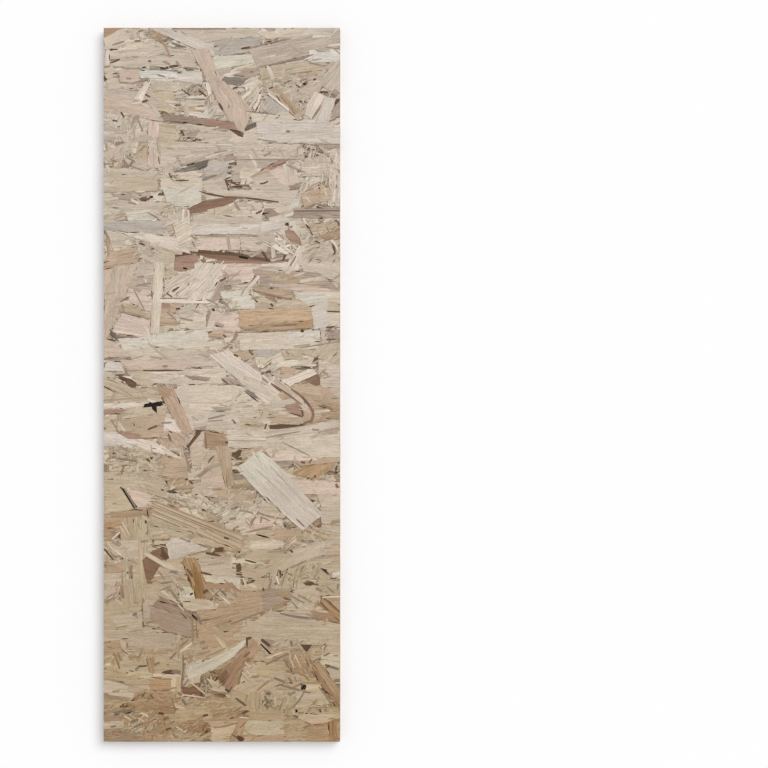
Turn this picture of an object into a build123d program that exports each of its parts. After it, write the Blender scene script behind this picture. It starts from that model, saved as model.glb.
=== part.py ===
"""Oriented strand board: one panel sawn from a pressed mat of wood strands.

The panel lies flat, face up, in millimetres. X runs across its width, Y along
its length and Z through its thickness. The origin is the centre of the
underside, where the panel rests.

The press leaves both faces in one plane. Where strands didn't meet, the face
stays open down to the strand below, so each gap is a pocket with strand edges
for walls and a whole number of strands for its depth. The saw opens the same
kind of gap as short slits in the four edges.
"""

from build123d import *
import os

# Panel, as sawn
panel_width = 298.0
panel_length = 900.0
panel_thickness = 18.0

# A typical face strand
strand_length = 125.0
strand_width = 25.0
strand_thickness = 0.7

# Slits that the saw opens in the edges
slit_pitch = 78.0
slit_depth = 6.0
slit_run = 17.0
slit_height = 1.1

# The slits lie in the core, clear of the two faces
core_share = 0.62
slit_shortest_share = 0.45
slit_drift_share = 0.5

# Steps that spread the slits without a visible rhythm
spread_share = 0.618
run_step_share = 0.382
height_step_share = 0.755

# Outlines of a gap, each in a unit box that its run and breadth scale
wedge_shares = ((0.0, 0.45), (0.72, 0.0), (1.0, 0.12), (0.96, 0.88), (0.7, 1.0))
tent_shares = ((0.0, 0.08), (0.42, 1.0), (0.55, 0.86), (1.0, 0.0))
lens_shares = ((0.0, 0.5), (0.22, 0.08), (0.62, 0.0), (1.0, 0.4), (0.74, 0.86), (0.3, 1.0))
slot_shares = ((0.0, 0.2), (0.9, 0.0), (1.0, 0.72), (0.93, 1.0), (0.08, 0.9))
block_shares = ((0.0, 0.12), (0.3, 0.0), (1.0, 0.22), (0.82, 0.95), (0.05, 1.0))

# Each gap of the face: outline, middle as shares of the panel's width and
# length, run as a share of the strand's length, breadth as a share of its
# width, turn in degrees, and depth in strands.
face_gap_shares = (
    # Upper third
    (slot_shares, 0.550, 0.926, 0.24, 0.30, -8, 2),
    (wedge_shares, 0.560, 0.854, 0.17, 0.27, -25, 2),
    (slot_shares, 0.622, 0.861, 0.14, 0.25, 28, 2),
    (wedge_shares, 0.581, 0.777, 0.19, 0.16, -3, 1),
    (slot_shares, 0.526, 0.781, 0.09, 0.11, -65, 2),
    (lens_shares, 0.471, 0.754, 0.60, 0.45, 12, 2),
    (lens_shares, 0.776, 0.725, 0.03, 0.12, 60, 2),
    (lens_shares, 0.869, 0.718, 0.14, 0.11, -57, 1),
    (lens_shares, 0.803, 0.706, 0.23, 0.52, -40, 2),
    (lens_shares, 0.539, 0.678, 0.79, 0.45, -8, 2),
    (block_shares, 0.342, 0.670, 0.21, 0.90, 0, 2),
    # Middle third
    (block_shares, 0.476, 0.607, 0.04, 0.14, 30, 2),
    (block_shares, 0.839, 0.575, 0.03, 0.13, 0, 2),
    (block_shares, 0.539, 0.551, 0.03, 0.12, 40, 2),
    (wedge_shares, 0.852, 0.523, 0.26, 0.20, 176, 1),
    (wedge_shares, 0.095, 0.507, 0.24, 0.30, -28, 2),
    (wedge_shares, 0.882, 0.506, 0.17, 0.52, -5, 2),
    (slot_shares, 0.209, 0.472, 0.20, 0.25, 8, 3),
    (wedge_shares, 0.218, 0.465, 0.09, 0.26, 112, 3),
    (lens_shares, 0.548, 0.449, 0.05, 0.10, -45, 2),
    (block_shares, 0.124, 0.444, 0.03, 0.12, 15, 2),
    (wedge_shares, 0.784, 0.442, 0.42, 0.26, 183, 2),
    (slot_shares, 0.383, 0.424, 0.22, 0.19, 53, 2),
    (block_shares, 0.565, 0.402, 0.07, 0.34, 20, 3),
    (slot_shares, 0.888, 0.368, 0.06, 0.11, 65, 2),
    (lens_shares, 0.290, 0.350, 0.12, 0.16, -8, 3),
    (slot_shares, 0.108, 0.341, 0.26, 0.20, -55, 2),
    # Lower third
    (lens_shares, 0.674, 0.288, 0.16, 0.09, -14, 2),
    (block_shares, 0.501, 0.270, 0.05, 0.20, 0, 1),
    (wedge_shares, 0.233, 0.264, 0.19, 0.70, -6, 2),
    (block_shares, 0.076, 0.256, 0.03, 0.12, 0, 2),
    (block_shares, 0.573, 0.245, 0.08, 0.25, 92, 3),
    (wedge_shares, 0.205, 0.243, 0.17, 1.26, 189, 2),
    (lens_shares, 0.938, 0.239, 0.11, 0.10, -38, 1),
    (slot_shares, 0.746, 0.235, 0.08, 0.10, 90, 2),
    (lens_shares, 0.110, 0.234, 0.08, 0.15, -62, 2),
    (lens_shares, 0.620, 0.225, 0.07, 0.15, 15, 3),
    (slot_shares, 0.586, 0.224, 0.06, 0.15, -70, 3),
    (lens_shares, 0.869, 0.222, 0.12, 0.26, 0, 2),
    (lens_shares, 0.438, 0.211, 0.04, 0.10, 50, 2),
    (lens_shares, 0.750, 0.192, 0.20, 0.15, 27, 1),
    (tent_shares, 0.856, 0.131, 0.12, 0.40, 180, 2),
    (slot_shares, 0.685, 0.130, 0.16, 0.10, -45, 3),
    (slot_shares, 0.844, 0.076, 0.06, 0.13, 62, 3),
    (tent_shares, 0.383, 0.072, 0.24, 0.43, -14, 2),
    (lens_shares, 0.150, 0.063, 0.11, 0.17, 25, 2),
    (lens_shares, 0.087, 0.052, 0.08, 0.15, 28, 2),
    # Gaps that the saw cut through at the near end
    (block_shares, 0.309, 0.007, 0.03, 0.13, 80, 3),
    (block_shares, 0.378, 0.001, 0.04, 0.12, 0, 3),
    (block_shares, 0.994, 0.002, 0.04, 0.15, 0, 3),
)


def gap_points(outline_shares, run, breadth):
    """The points of a gap's outline, centred on its middle."""
    return [
        (run * (along - 0.5), breadth * (across - 0.5))
        for along, across in outline_shares
    ]


def gap_outline(outline_shares, middle, turn, run, breadth):
    """Adds one gap's outline to the sketch being made."""
    with Locations(middle):
        Polygon(*gap_points(outline_shares, run, breadth), rotation=turn)


def spread(step_share, count):
    """The fraction that step_share leaves after count steps, from 0 to 1."""
    return step_share * count % 1


def slit_outlines(edge_run):
    """Adds the slits of one sawn edge to the sketch being made on it."""
    slits = max(1, round(edge_run / slit_pitch))
    step = edge_run / slits
    for number in range(slits):
        drift = slit_drift_share * (spread(spread_share, number) - 0.5)
        along = step * (number + 0.5 + drift) - edge_run / 2
        height = core_share * (spread(height_step_share, number + 1) - 0.5)
        longer_share = (1 - slit_shortest_share) * spread(run_step_share, number)
        run = slit_run * (slit_shortest_share + longer_share)
        gap_outline(lens_shares, (along, panel_thickness * height), 0, run, slit_height)


face_plane = Plane.XY.offset(panel_thickness)
mid_height = panel_thickness / 2
edges_of_panel = (
    (Plane((panel_width / 2, 0, mid_height), (0, 1, 0), (1, 0, 0)), panel_length),
    (Plane((-panel_width / 2, 0, mid_height), (0, -1, 0), (-1, 0, 0)), panel_length),
    (Plane((0, panel_length / 2, mid_height), (-1, 0, 0), (0, 1, 0)), panel_width),
    (Plane((0, -panel_length / 2, mid_height), (1, 0, 0), (0, -1, 0)), panel_width),
)

with BuildPart() as osb_panel:
    # The mat, pressed flat and sawn square
    with BuildSketch():
        Rectangle(panel_width, panel_length)
    extrude(amount=panel_thickness)

    # Gaps in the face, one cut for each depth
    for strands_deep in sorted({gap[-1] for gap in face_gap_shares}):
        with BuildSketch(face_plane):
            for outline, across, along, run, breadth, turn, depth in face_gap_shares:
                if depth == strands_deep:
                    middle = (panel_width * (across - 0.5), panel_length * (along - 0.5))
                    gap_outline(
                        outline, middle, turn, strand_length * run, strand_width * breadth
                    )
        extrude(amount=-strands_deep * strand_thickness, mode=Mode.SUBTRACT)

    # Slits in the four sawn edges
    for edge_plane, edge_run in edges_of_panel:
        with BuildSketch(edge_plane):
            slit_outlines(edge_run)
        extrude(amount=-slit_depth, mode=Mode.SUBTRACT)

osb_panel.part.label = "osb_panel"
os.makedirs("parts", exist_ok=True)
export_step(osb_panel.part, "parts/osb_panel.step")
print("osb_panel", osb_panel.part.bounding_box().size, "solids", len(osb_panel.part.solids()))
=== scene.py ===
"""Looks of one sawn panel of oriented strand board, lying face up on a pale floor.

The panel is a mat of thin pine strands, pressed flat between two plates and sawn
square. Every strand is a real plate here: the large ones are placed one by one
where the photograph shows them, and loose beds of smaller ones fill in between,
under and behind them. The panel's own solid then trims them all, so the saw
cuts, the press planes and the open gaps are where the frame has them.
"""

from __future__ import annotations

import logging
import math
import random
from dataclasses import dataclass
from enum import Enum
from typing import Any, Iterable

import bmesh
import bpy
from mathutils import Matrix, Vector


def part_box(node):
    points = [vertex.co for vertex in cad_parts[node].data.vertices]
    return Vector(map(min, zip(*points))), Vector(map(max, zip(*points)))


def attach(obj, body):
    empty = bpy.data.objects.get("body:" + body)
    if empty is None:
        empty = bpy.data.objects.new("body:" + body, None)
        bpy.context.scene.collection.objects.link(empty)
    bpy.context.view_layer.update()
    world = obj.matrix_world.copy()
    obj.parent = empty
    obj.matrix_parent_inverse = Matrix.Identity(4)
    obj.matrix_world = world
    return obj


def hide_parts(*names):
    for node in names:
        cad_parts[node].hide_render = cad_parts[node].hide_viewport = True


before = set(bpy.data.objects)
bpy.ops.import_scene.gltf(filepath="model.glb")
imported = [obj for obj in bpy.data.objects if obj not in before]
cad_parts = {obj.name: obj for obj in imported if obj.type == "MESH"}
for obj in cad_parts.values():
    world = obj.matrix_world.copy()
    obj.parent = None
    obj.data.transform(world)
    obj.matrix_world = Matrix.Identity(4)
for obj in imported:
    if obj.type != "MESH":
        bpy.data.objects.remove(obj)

LOG = logging.getLogger("strand_board")
MM = 0.001

# The photograph's frame, and the corners of the panel in it
IMAGE_PX = 768.0
PANEL_LEFT_PX = 103.5
PANEL_RIGHT_PX = 340.0
PANEL_TOP_PX = 27.5
PANEL_BOTTOM_PX = 742.0

# Facts that every strand carries while it is made
PLACE, UNIT, SIZE, WIDTHS, SLANTS = "place", "unit", "size", "widths", "slants"
TIPS, TURN, TILT, SEED = "tips", "turn", "tilt", "seed"

# Facts that it carries on to its material
COLOR, STREAK, GRAIN, RIM = "strand_color", "streak", "grain", "rim"

# Facts that an outline carries to the strands strewn over it
CROWD, LENGTHS, SLIMS = "crowd", "lengths", "slims"
HEIGHTS, HEADINGS, TINTS = "heights", "headings", "tints"

# Facts that no finished piece keeps, and those that are one number or a colour and not a vector
SCAFFOLD = {PLACE, UNIT, SIZE, WIDTHS, SLANTS, TIPS, TURN, TILT, SEED}
SCAFFOLD |= {CROWD, LENGTHS, SLIMS, HEIGHTS, HEADINGS, TINTS}
KINDS = {TURN: "FLOAT", SEED: "FLOAT", STREAK: "FLOAT", CROWD: "FLOAT", COLOR: "FLOAT_COLOR"}


def linear(hex_color: str) -> tuple[float, float, float, float]:
    """Turn an sRGB hex colour, such as "C4AC98", into linear red, green, blue and an alpha of one."""
    channels = [int(hex_color[at : at + 2], 16) / 255 for at in (0, 2, 4)]
    curved = [c / 12.92 if c <= 0.04045 else ((c + 0.055) / 1.055) ** 2.4 for c in channels]
    return (curved[0], curved[1], curved[2], 1.0)


class Wire:
    """A value in a node tree. Arithmetic on it adds Math nodes to the tree."""

    def __init__(self, socket: bpy.types.NodeSocket) -> None:
        """Hold the output that the value comes from."""
        self.socket = socket

    @property
    def outputs(self) -> list[Wire]:
        """Every output of the same node."""
        return [Wire(socket) for socket in self.socket.node.outputs]

    def step(self, operation: str, other: Any = None, swap: bool = False) -> Wire:
        """Work out one Math step, alone or with another value, which comes first if they swap."""
        values = [self] if other is None else [other, self] if swap else [self, other]
        return add_node(self.socket.id_data, "ShaderNodeMath", dict(enumerate(values)), operation=operation)

    def __add__(self, other: Any) -> Wire:
        """Add a value."""
        return self.step("ADD", other)

    def __sub__(self, other: Any) -> Wire:
        """Take a value away."""
        return self.step("SUBTRACT", other)

    def __rsub__(self, other: Any) -> Wire:
        """Take this away from a number."""
        return self.step("SUBTRACT", other, swap=True)

    def __mul__(self, other: Any) -> Wire:
        """Multiply by a value."""
        return self.step("MULTIPLY", other)

    def __truediv__(self, other: Any) -> Wire:
        """Divide by a value."""
        return self.step("DIVIDE", other)

    def __rtruediv__(self, other: Any) -> Wire:
        """Divide a number by this."""
        return self.step("DIVIDE", other, swap=True)

    def __pow__(self, other: Any) -> Wire:
        """Raise to a power."""
        return self.step("POWER", other)


def add_node(
    tree: bpy.types.NodeTree, kind: str, inputs: dict | None = None, output: int | str = 0, **settings: Any
) -> Wire | None:
    """Add one node with its settings, values and links.

    Args:
        tree: The node tree to add to.
        kind: The node's type name.
        inputs: Socket name or number to a value, or to the wire that feeds it.
        output: Name or number of the output to return.
        **settings: Properties of the node itself.

    Returns:
        The output, or nothing where the node has none.
    """
    node = tree.nodes.new(kind)
    for name, value in settings.items():
        setattr(node, name, value)
    for key, value in (inputs or {}).items():
        if isinstance(value, Wire):
            tree.links.new(value.socket, node.inputs[key])
        else:
            node.inputs[key].default_value = value
    return Wire(node.outputs[output]) if node.outputs else None


class Tone(Enum):
    """Colours of single strands, from fresh sapwood to bark, and the painted shade of open gaps and slits."""

    IVORY = "DACABA"
    PALE = "D2C3B3"
    CREAM = "CCBDAA"
    ASH = "C9BDB0"
    SAGE = "CBC2B2"
    BEIGE = "C2B3A1"
    STRAW = "BCAB94"
    HONEY = "B8A188"
    TAN = "B59E86"
    OCHRE = "AC9478"
    GOLD = "98774E"
    ROSE = "C3AE9C"
    MAUVE = "B8A999"
    SMOKE = "B4A99D"
    SLATE = "887D72"
    UMBER = "9A8675"
    ORANGE = "C2A588"
    BROWN = "A78B72"
    RUST = "886A56"
    # Dark bark, also laid as painted shade on gap floors and along strand edges
    BARK = "644C38"
    # Not a wood colour: painted shadow, laid where an open gap or slit lies dark
    VOID = "1E130D"
    FROST = "D0CABF"
    OLIVE = "BFAE94"
    SEPIA = "A08270"
    TAUPE = "A99687"
    SIENNA = "BA9F89"
    IRON = "6E655A"
    BUFF = "D0C5AE"
    BLUSH = "CDB8A8"
    CARAMEL = "B0916F"


@dataclass(frozen=True)
class Strand:
    """A strand that the photograph shows, in the photograph's pixels.

    Attributes:
        start: One end of its centre line.
        end: The other end. The grain runs from start to end.
        width: Its width at the start.
        tone: Its colour.
        level: How many strands deep its face lies below the press plane.
        tips: How much the very start and the very end draw in, from 0 to 1.
        slants: How slanted the start and the end are cut, in widths.
        streak: How strong its growth lines are, from 0 to 1.
        bow: How far its middle strays to the left of the centre line.
        end_width: Its width at the end, where that differs.
        light: How light it is against its tone; splinters carry their painted highlight and shade in it.
    """

    start: tuple[float, float]
    end: tuple[float, float]
    width: float
    tone: Tone
    level: float = 0.6
    tips: tuple[float, float] = (0.15, 0.15)
    slants: tuple[float, float] = (0.0, 0.0)
    streak: float = 0.25
    bow: float = 0.0
    end_width: float | None = None
    light: float = 1.0

    @property
    def widths(self) -> tuple[float, float]:
        """Its widths at the start and at the end."""
        return (self.width, self.width if self.end_width is None else self.end_width)


def tenths(*counts: float) -> tuple[float, ...]:
    """Turn counts of tenths into numbers, rounded so that equal levels stay equal."""
    return tuple(round(count / 10, 3) for count in counts)


def flake(
    corners: tuple[float, ...],
    tone: Tone,
    level: float = 5,
    streak: float = 2.5,
    bow: float = 0,
    tips: tuple[float, float] = (0, 0),
) -> Strand:
    """Make a strand from its four corners. Its level, its streak and its tips are given in tenths.

    Args:
        corners: Its corners in turn, as x and y, the first two along the grain.
        tone: Its colour.
        level: How many strands deep its face lies.
        streak: How strong its growth lines are.
        bow: How far its middle strays to the left, in pixels.
        tips: How much the very start and the very end draw in.

    Returns:
        The strand.
    """
    near_left, far_left, far_right, near_right = (Vector(corners[at : at + 2]) for at in (0, 2, 4, 6))
    start, end = (near_left + near_right) / 2, (far_left + far_right) / 2
    run = (end - start).normalized()
    left = Vector((run.y, -run.x))
    cuts = (near_left - near_right, far_left - far_right)
    widths = [cut.dot(left) for cut in cuts]
    side = math.copysign(1.0, sum(widths))
    widest = max(abs(width) for width in widths)
    slants = tuple(side * cut.dot(run) / widest for cut in cuts)
    first, last = (side * width for width in widths)
    depth, lines = tenths(level, streak)
    return Strand(tuple(start), tuple(end), first, tone, depth, tenths(*tips), slants, lines, bow, last)


def laid(*rows: Strand | tuple[Any, ...]) -> list[Strand]:
    """Turn the rows of a table into strands, in the same order.

    Args:
        *rows: A row that starts with a number is a flake: its corners, its tone and the rest of what `flake`
            takes. A row that starts with a tone and a level is thin marks of both: for each its start, its
            end and its width, then how much its ends draw in, then its bow. Levels and tips are in tenths
            there too. A strand stays as it is.

    Returns:
        The strands.
    """
    strands: list[Strand] = []
    for row in rows:
        if isinstance(row, Strand):
            strands.append(row)
        elif isinstance(row[0], Tone):
            tone, depth, *marks = row
            for mark in marks:
                tips, bow = tenths(*mark[5:7]) or Strand.tips, sum(mark[7:])
                strands.append(Strand(mark[:2], mark[2:4], mark[4], tone, *tenths(depth), tips, bow=bow))
        else:
            strands.append(flake(row[:8], *row[8:]))
    return strands


@dataclass(frozen=True)
class Patch:
    """A patch of the face that the photograph shows covered in fines, in its pixels.

    Attributes:
        corners: Its outline, as x and y in turn.
        heading: Direction that most fines lie in, in degrees up from the photograph's right.
        tone: Their usual colour.
        crowd: How much of the patch they cover.
        longest: Length of the longest.
    """

    corners: tuple[float, ...]
    heading: float
    tone: Tone
    crowd: float = 1.0
    longest: float = 11.0


# The tones by their bare names, and the level below which a strand lies under the open gaps
(
    IVORY, PALE, CREAM, ASH, SAGE, BEIGE, STRAW, HONEY, TAN, OCHRE, GOLD, ROSE, MAUVE, SMOKE, SLATE, UMBER,
    ORANGE, BROWN, RUST, BARK, VOID, FROST, OLIVE, SEPIA, TAUPE, SIENNA, IRON, BUFF, BLUSH, CARAMEL,
) = Tone
GAP_FLOOR = 1.3

# Thin marks in the darkest tones trace the dark lines along strand edges and in slits: partly dark slivers,
# partly painted shade.
PHOTO_STRANDS = laid(
    # Top left corner to the long pink arrow
    (103,28, 128,27, 112,36, 103,39, BROWN, 9), (103,38, 124,28, 142,30, 106,51, CREAM, 6),
    (112,44, 150,38, 168,46, 112,52, CREAM, 7), (104,52, 166,46, 170,54, 104,60, BEIGE, 6, 4),
    (150,44, 200,52, 198,60, 150,54, BEIGE, 8, 4), (120,56, 190,55, 198,68, 118,64, BEIGE, 7, 4),
    (104,61, 150,59, 150,69, 104,66, BEIGE, 5), (PALE, 2, (108,50, 106,68, 5)),
    (104,66, 112,64, 121,88, 108,90, BEIGE, 4), (119,70, 140,69, 138,84, 120,82, ROSE, 6),
    (139,70, 200,69, 202,84, 150,80, SAGE, 5, 4), (138,71, 178,70, 180,78, 141,78, FROST, 3, 4),
    (176,73, 202,71, 202,84, 180,82, ASH, 3), (150,80, 204,80, 178,92, 152,90, BEIGE, 6),
    (103,85, 150,92, 166,108, 103,106, MAUVE, 6, 4), (103,96, 142,100, 168,122, 103,112, ROSE, 4, 3),
    (148,84, 174,92, 174,114, 152,110, OLIVE, 7, 1), (146,81, 134,99, 142,101, 150,83, IVORY, 1),
    (176,98, 204,94, 206,99, 178,100, IVORY, 4), (180,101, 205,100, 204,106, 182,106, CREAM, 3),
    (180,107, 208,104, 206,112, 184,112, TAN, 4), (184,111, 202,112, 202,117, 180,114, PALE, 3),
    (198,117, 212,104, 218,108, 208,119, ASH, 2), (IVORY, 1, (207,82, 212,102, 4)),
    (166,28, 214,45, 214,57, 151,29, ASH, 2, 3), (191,50, 213,92, 226,90, 208,48, ROSE, 2, 4),
    (202,73, 230,122, 252,110, 218,74, ROSE, 1.5, 4), (163,113.5, 207,119, 207,125.5, 163,120, UMBER, 1, 6),
    (204,118.5, 236,122, 240,131, 204,125.5, SEPIA, 1, 4), (227,106, 239,133, 243,133, 253,110, ROSE, 0.5, 2),
    (148,28, 158,30, 167,41, 150,38, BROWN, 3, 5), (BROWN, 0, (160,40, 170,57, 1.6, 1.5, 1.5, 1.5)),
    (UMBER, 0, (172,28.3, 226,28.6, 1.2), (163,61, 170,64, 2.2, 5, 5), (176,61, 181,67, 2),
        (184,67, 199,69, 1.5), (132,83, 148,79, 1.7, 8, 3), (113,77, 119,76, 1.4), (126,78, 131,78.5, 1.6),
        (138,120, 143,131, 1.6), (192,86, 200,84.5, 2.2)),
    (SLATE, 0, (172,43, 186,47, 1.3), (186,70, 194,70, 1.6), (150,69, 182,71.5, 1),
        (157,74.5, 166,77, 1.4, 7, 7), (176,98.5, 205,99, 1.1)),
    (UMBER, 1, (112,45, 124,41, 2, 6, 6), (103,67, 110,66, 2, 0, 5)),
    (BARK, 0, (110,49.5, 118,49, 1.2), (110,63, 120,59, 1.8, 5, 6), (103,77, 107,80, 2.5, 0, 8),
        (169,66.5, 178,65.5, 2.4, 5, 3), (148,61, 151,61, 1.5), (142,67.5, 146,67, 1.6),
        (145,94, 150,97, 1.6), (142,102, 148,100, 2.5, 3, 7), (121,112, 124,117, 1.8),
        (112,120, 117,121, 1.6), (181,89, 190,95, 1.3), (199,90, 206,96, 1.5), (219,103, 223,110, 2.2, 4, 6)),
    # Top right corner
    (176,29, 262,27, 244,47, 208,45, BEIGE, 8, 3), (212,40, 262,36, 252,52, 214,56, SMOKE, 7, 4),
    (256,33, 304,27, 302,36, 268,39, CREAM, 6), (286,28, 341,27, 341,40, 286,40, ASH, 7, 3),
    (248,49, 341,28, 341,47, 258,67, MAUVE, 3.5, 4), (213,56, 254,54, 254,63, 214,70, SAGE, 4),
    (310,50, 341,48, 341,62, 308,62, FROST, 3, 1.5), (258,68, 320,59, 332,68, 262,81, STRAW, 5, 6),
    (266,76, 312,70, 330,72, 300,82, HONEY, 6, 5), (232,68, 256,62, 257,70, 240,70, CREAM, 4),
    (232,69, 257,68, 257,79, 233,77, TAN, 3, 4), (232,72, 256,71, 256,77, 234,76, TAUPE, 2, 3),
    (211,70, 231,67, 232,76, 222,77, MAUVE, 3), (244,83, 258,78, 260,96, 246,93, CREAM, 5, 1),
    (256,80, 300,78, 300,90, 262,92, BEIGE, 8, 4), (266,90, 300,90, 306,98, 276,100, BEIGE, 7),
    (PALE, 1, (241,99, 251,91, 4, 2, 4)), (IVORY, 0, (254,109, 261,94, 3.4, 1, 5)),
    (259,108, 268,96, 290,112, 274,115, SMOKE, 4, 1), (283,89, 306,112, 297,120, 270,89, TAN, 3, 3),
    (282,93, 300,110, 296,114, 280,96, OCHRE, 2, 3), (298,92, 333,60, 341,66, 312,99, ROSE, 3, 7),
    (318,82, 338,60, 341,62, 324,84, BEIGE, 2.5, 7), (322,86, 339,64, 341,82, 332,92, BEIGE, 2, 6),
    (315,91, 302,113, 312,120, 325,96, PALE, 1, 2), (326,97, 314,120, 329,121, 336,98, ASH, 2, 2),
    (338,95, 331,104, 331,119, 341,119, TAUPE, 5), (BARK, 2, (335,104, 340,96, 3.4, 5, 2)),
    (IVORY, 1, (328,45.5, 341,44, 2.6, 5, 0)),
    (UMBER, 0, (325,47, 341,49, 1.1, 6, 0), (249,48.6, 291,38.5, 1.3, 0, 8, 1), (262,66, 300,58.6, 1.3, 5, 0),
        (299,59, 314,54, 1.7, 0, 8), (309,63, 325,66.5, 1.4, 7, 4, 0.6), (290,74, 312,71, 1.1, 7, 3)),
    (BARK, 0, (241,48.6, 250,47, 2, 6, 2), (320,91.5, 328,92, 1.8, 6, 3), (296,85, 300,87, 1.8),
        (299,101, 306,102, 1.6), (233,88, 238,87, 1.4), (269,88.5, 273,87, 1.6), (313,79.5, 316,79, 2)),
    (PALE, 0, (304,59.5, 319,53.5, 1.7, 5, 5)), (BEIGE, 1, (244,104, 256,90, 3)),
    (PALE, 1, (249,109, 258,92, 2.6)), (IVORY, 0, (268,93, 289,110, 2.2)),
    (SLATE, 0, (246,111, 276,114.5, 1.2, 5, 6), (312,119, 321,105, 1.6, 3, 7)),
    (VOID, 0, (303,84, 306,84, 2.2, 4, 4)),
    # Broad pale bands below the arrow
    (250,112, 300,114, 304,126, 252,124, CREAM, 6, 3), (256,121, 341,118, 341,144, 258,142, ASH, 5, 4),
    (226,134, 262,126, 300,142, 224,146, CREAM, 7, 4), (158,122, 184,126, 182,152, 158,150, STRAW, 7, 3),
    (176,123, 214,127, 208,132, 176,130, BEIGE, 4), (196,128, 232,132, 228,144, 196,142, BEIGE, 5, 4),
    (170,141, 230,142, 228,154, 170,152, BEIGE, 6, 4), (183,130, 200,130, 195,138, 183,138, TAUPE, 2, 3),
    (103,112, 130,110, 130,128, 103,126, ASH, 7), (103,127, 130,126, 130,142, 103,141, MAUVE, 6),
    (128,116, 150,114, 146,142, 126,142, CREAM, 6, 6), (148,120, 148,166, 158,168, 159,122, BLUSH, 3, 4),
    (BARK, 0, (181,130, 184,136, 2), (195,139, 201,140, 1.8)),
    (UMBER, 0, (175,140.5, 192,141.5, 1.2), (257,139, 278,142, 1.1, 7, 6)),
    (SLATE, 1, (286,131, 290,131.5, 2.6)),
    # Slate lens, tan block and the long cream strand
    (103,152, 132,139, 135,147, 104,163, ROSE, 5, 4), (128,146, 148,144, 148,172, 138,172, HONEY, 6, 4),
    (106,160, 122,150, 124,166, 106,166, MAUVE, 4), (112,160, 121,158, 121,168, 112,168, TAN, 3, 5),
    (160,148, 178,150, 176,164, 160,166, BEIGE, 5), (124,158, 146,160, 160,172, 130,168, BEIGE, 4, 3),
    (158,164, 180,162, 178,182, 160,182, BEIGE, 5), (103,166, 150,170, 164,176, 103,175, BEIGE, 4, 3),
    (103,174, 160,175, 157,191, 103,192, STRAW, 3, 3), (112,194, 132,194, 130,200, 118,199, TAUPE, 4),
    (161,172, 203,170, 202,190, 160,190, CREAM, 4.5, 1), (162,188, 202,187, 201,206, 168,206, SAGE, 3, 1),
    (103,200, 168,202, 170,214, 103,214, BEIGE, 6, 4), (103,206, 116,205, 114,222, 103,222, BEIGE, 4),
    (126,212, 150,209, 164,221, 128,221, SAGE, 4, 6), (176,152, 228,146, 240,152, 182,164, BEIGE, 4, 4),
    (206,158, 228,152, 238,158, 222,162, TAUPE, 3, 7), (178,165, 222,149, 238,152, 200,162, MAUVE, 2.5, 3),
    (205,163, 230,157, 226,176, 202,180, SMOKE, 4, 2), (200,176, 226,172, 228,190, 202,189, BEIGE, 5),
    (177,170, 209,159, 206,167.5, 180,173.5, SLATE, 1, 5, 0, (6, 0)),
    (194,163, 209,159.5, 206,167, 196,169, IRON, 0.5, 4), (236,160, 302,159, 280,170, 238,171, MAUVE, 5, 4),
    (226,142, 300,144, 306,152, 226,152, BEIGE, 6, 4), (232,150, 304,150, 304,160, 234,160, BEIGE, 5, 4),
    (238,168, 262,168, 262,190, 240,186, CREAM, 5), (266,169, 296,168, 300,184, 284,186, BLUSH, 4, 1),
    (252,176, 284,172, 290,190, 252,190, BEIGE, 5, 3), (300,158, 334,156, 334,176, 302,176, BEIGE, 7, 3),
    (231,166, 240,164, 240,182, 233,182, MAUVE, 3), (250,177, 266,167, 276,168, 254,177, TAN, 2.5, 4),
    (262,169, 279,160, 289,160, 272,169, SEPIA, 1.5, 8), (229,188.7, 232,186, 249,184.5, 250,189.5, SLATE, 3),
    (200,189, 300,190, 290,205, 222,196.5, BEIGE, 1, 3.5), (286,196, 300,196, 296,226, 286,226, SAGE, 4),
    (300,188, 318,184, 322,202, 304,207, SIENNA, 4, 2), (320,184, 331,190, 331,201, 320,202, HONEY, 3, 2),
    (330,150, 341,150, 341,206, 328,206, PALE, 6, 6),
    Strand((336, 152), (333, 206), 5, PALE, 0.3, (0.2, 0.2), (0, 0), 0.7),
    Strand((341, 150), (339, 206), 4, PALE, 0.2, (0.2, 0.2), (0, 0), 0.7),
    (UMBER, 1, (291,189, 299,184, 3.2, 3, 6)), (293,208.5, 341,208, 341,218, 294,218, TAUPE, 0, 8),
    (262,209, 271,208, 281,214, 267,218, UMBER, 1, 1), (214,207, 228,202, 232,219, 216,221, STRAW, 3, 1),
    (228,202, 262,203, 262,222, 230,222, CREAM, 6, 2), (262,202, 292,203, 290,224, 270,222, CREAM, 6, 2),
    (SLATE, 2, (202,180, 217,175, 3, 2, 7)),
    (TAUPE, 0, (181,166, 206,157.5, 1.4), (304,155, 312,149, 1.7, 2, 7), (313,154, 320,149, 1.8, 3, 7)),
    (IVORY, 0, (205,157.5, 232,150, 1.6), (260,216, 264,208.5, 1.7)),
    (UMBER, 0, (214,152.5, 228,150.5, 1.6, 7, 4), (157,180, 161,181, 2), (103,163.5, 111,164, 1.7, 0, 4),
        (113,157, 113,167, 1.7), (127,157, 136,162.5, 1.5, 3, 8), (122,160, 130,166, 1.7, 1.5, 1.5, -1.2),
        (129,165.5, 145,171, 1.4, 0, 7), (128,202, 136,204, 1.4), (148,212.5, 158,218, 1.4),
        (240,159.4, 300,159.4, 1.2, 8, 8), (286,164.5, 305,172, 1.6, 7, 5), (264,156, 271,152, 1.8),
        (234,201, 240,210, 1.8)),
    (IRON, 0, (174,172, 180,170, 1.8, 7, 2)),
    (BARK, 0, (176,180.5, 189,180.2, 1.4, 6, 6), (169,173, 172,178, 1.9), (144,200, 150,198, 1.4),
        (225.5,179.5, 229,188.5, 2.3), (260,183.5, 268,181, 1.5, 1.5, 1.5, -0.8),
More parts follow.
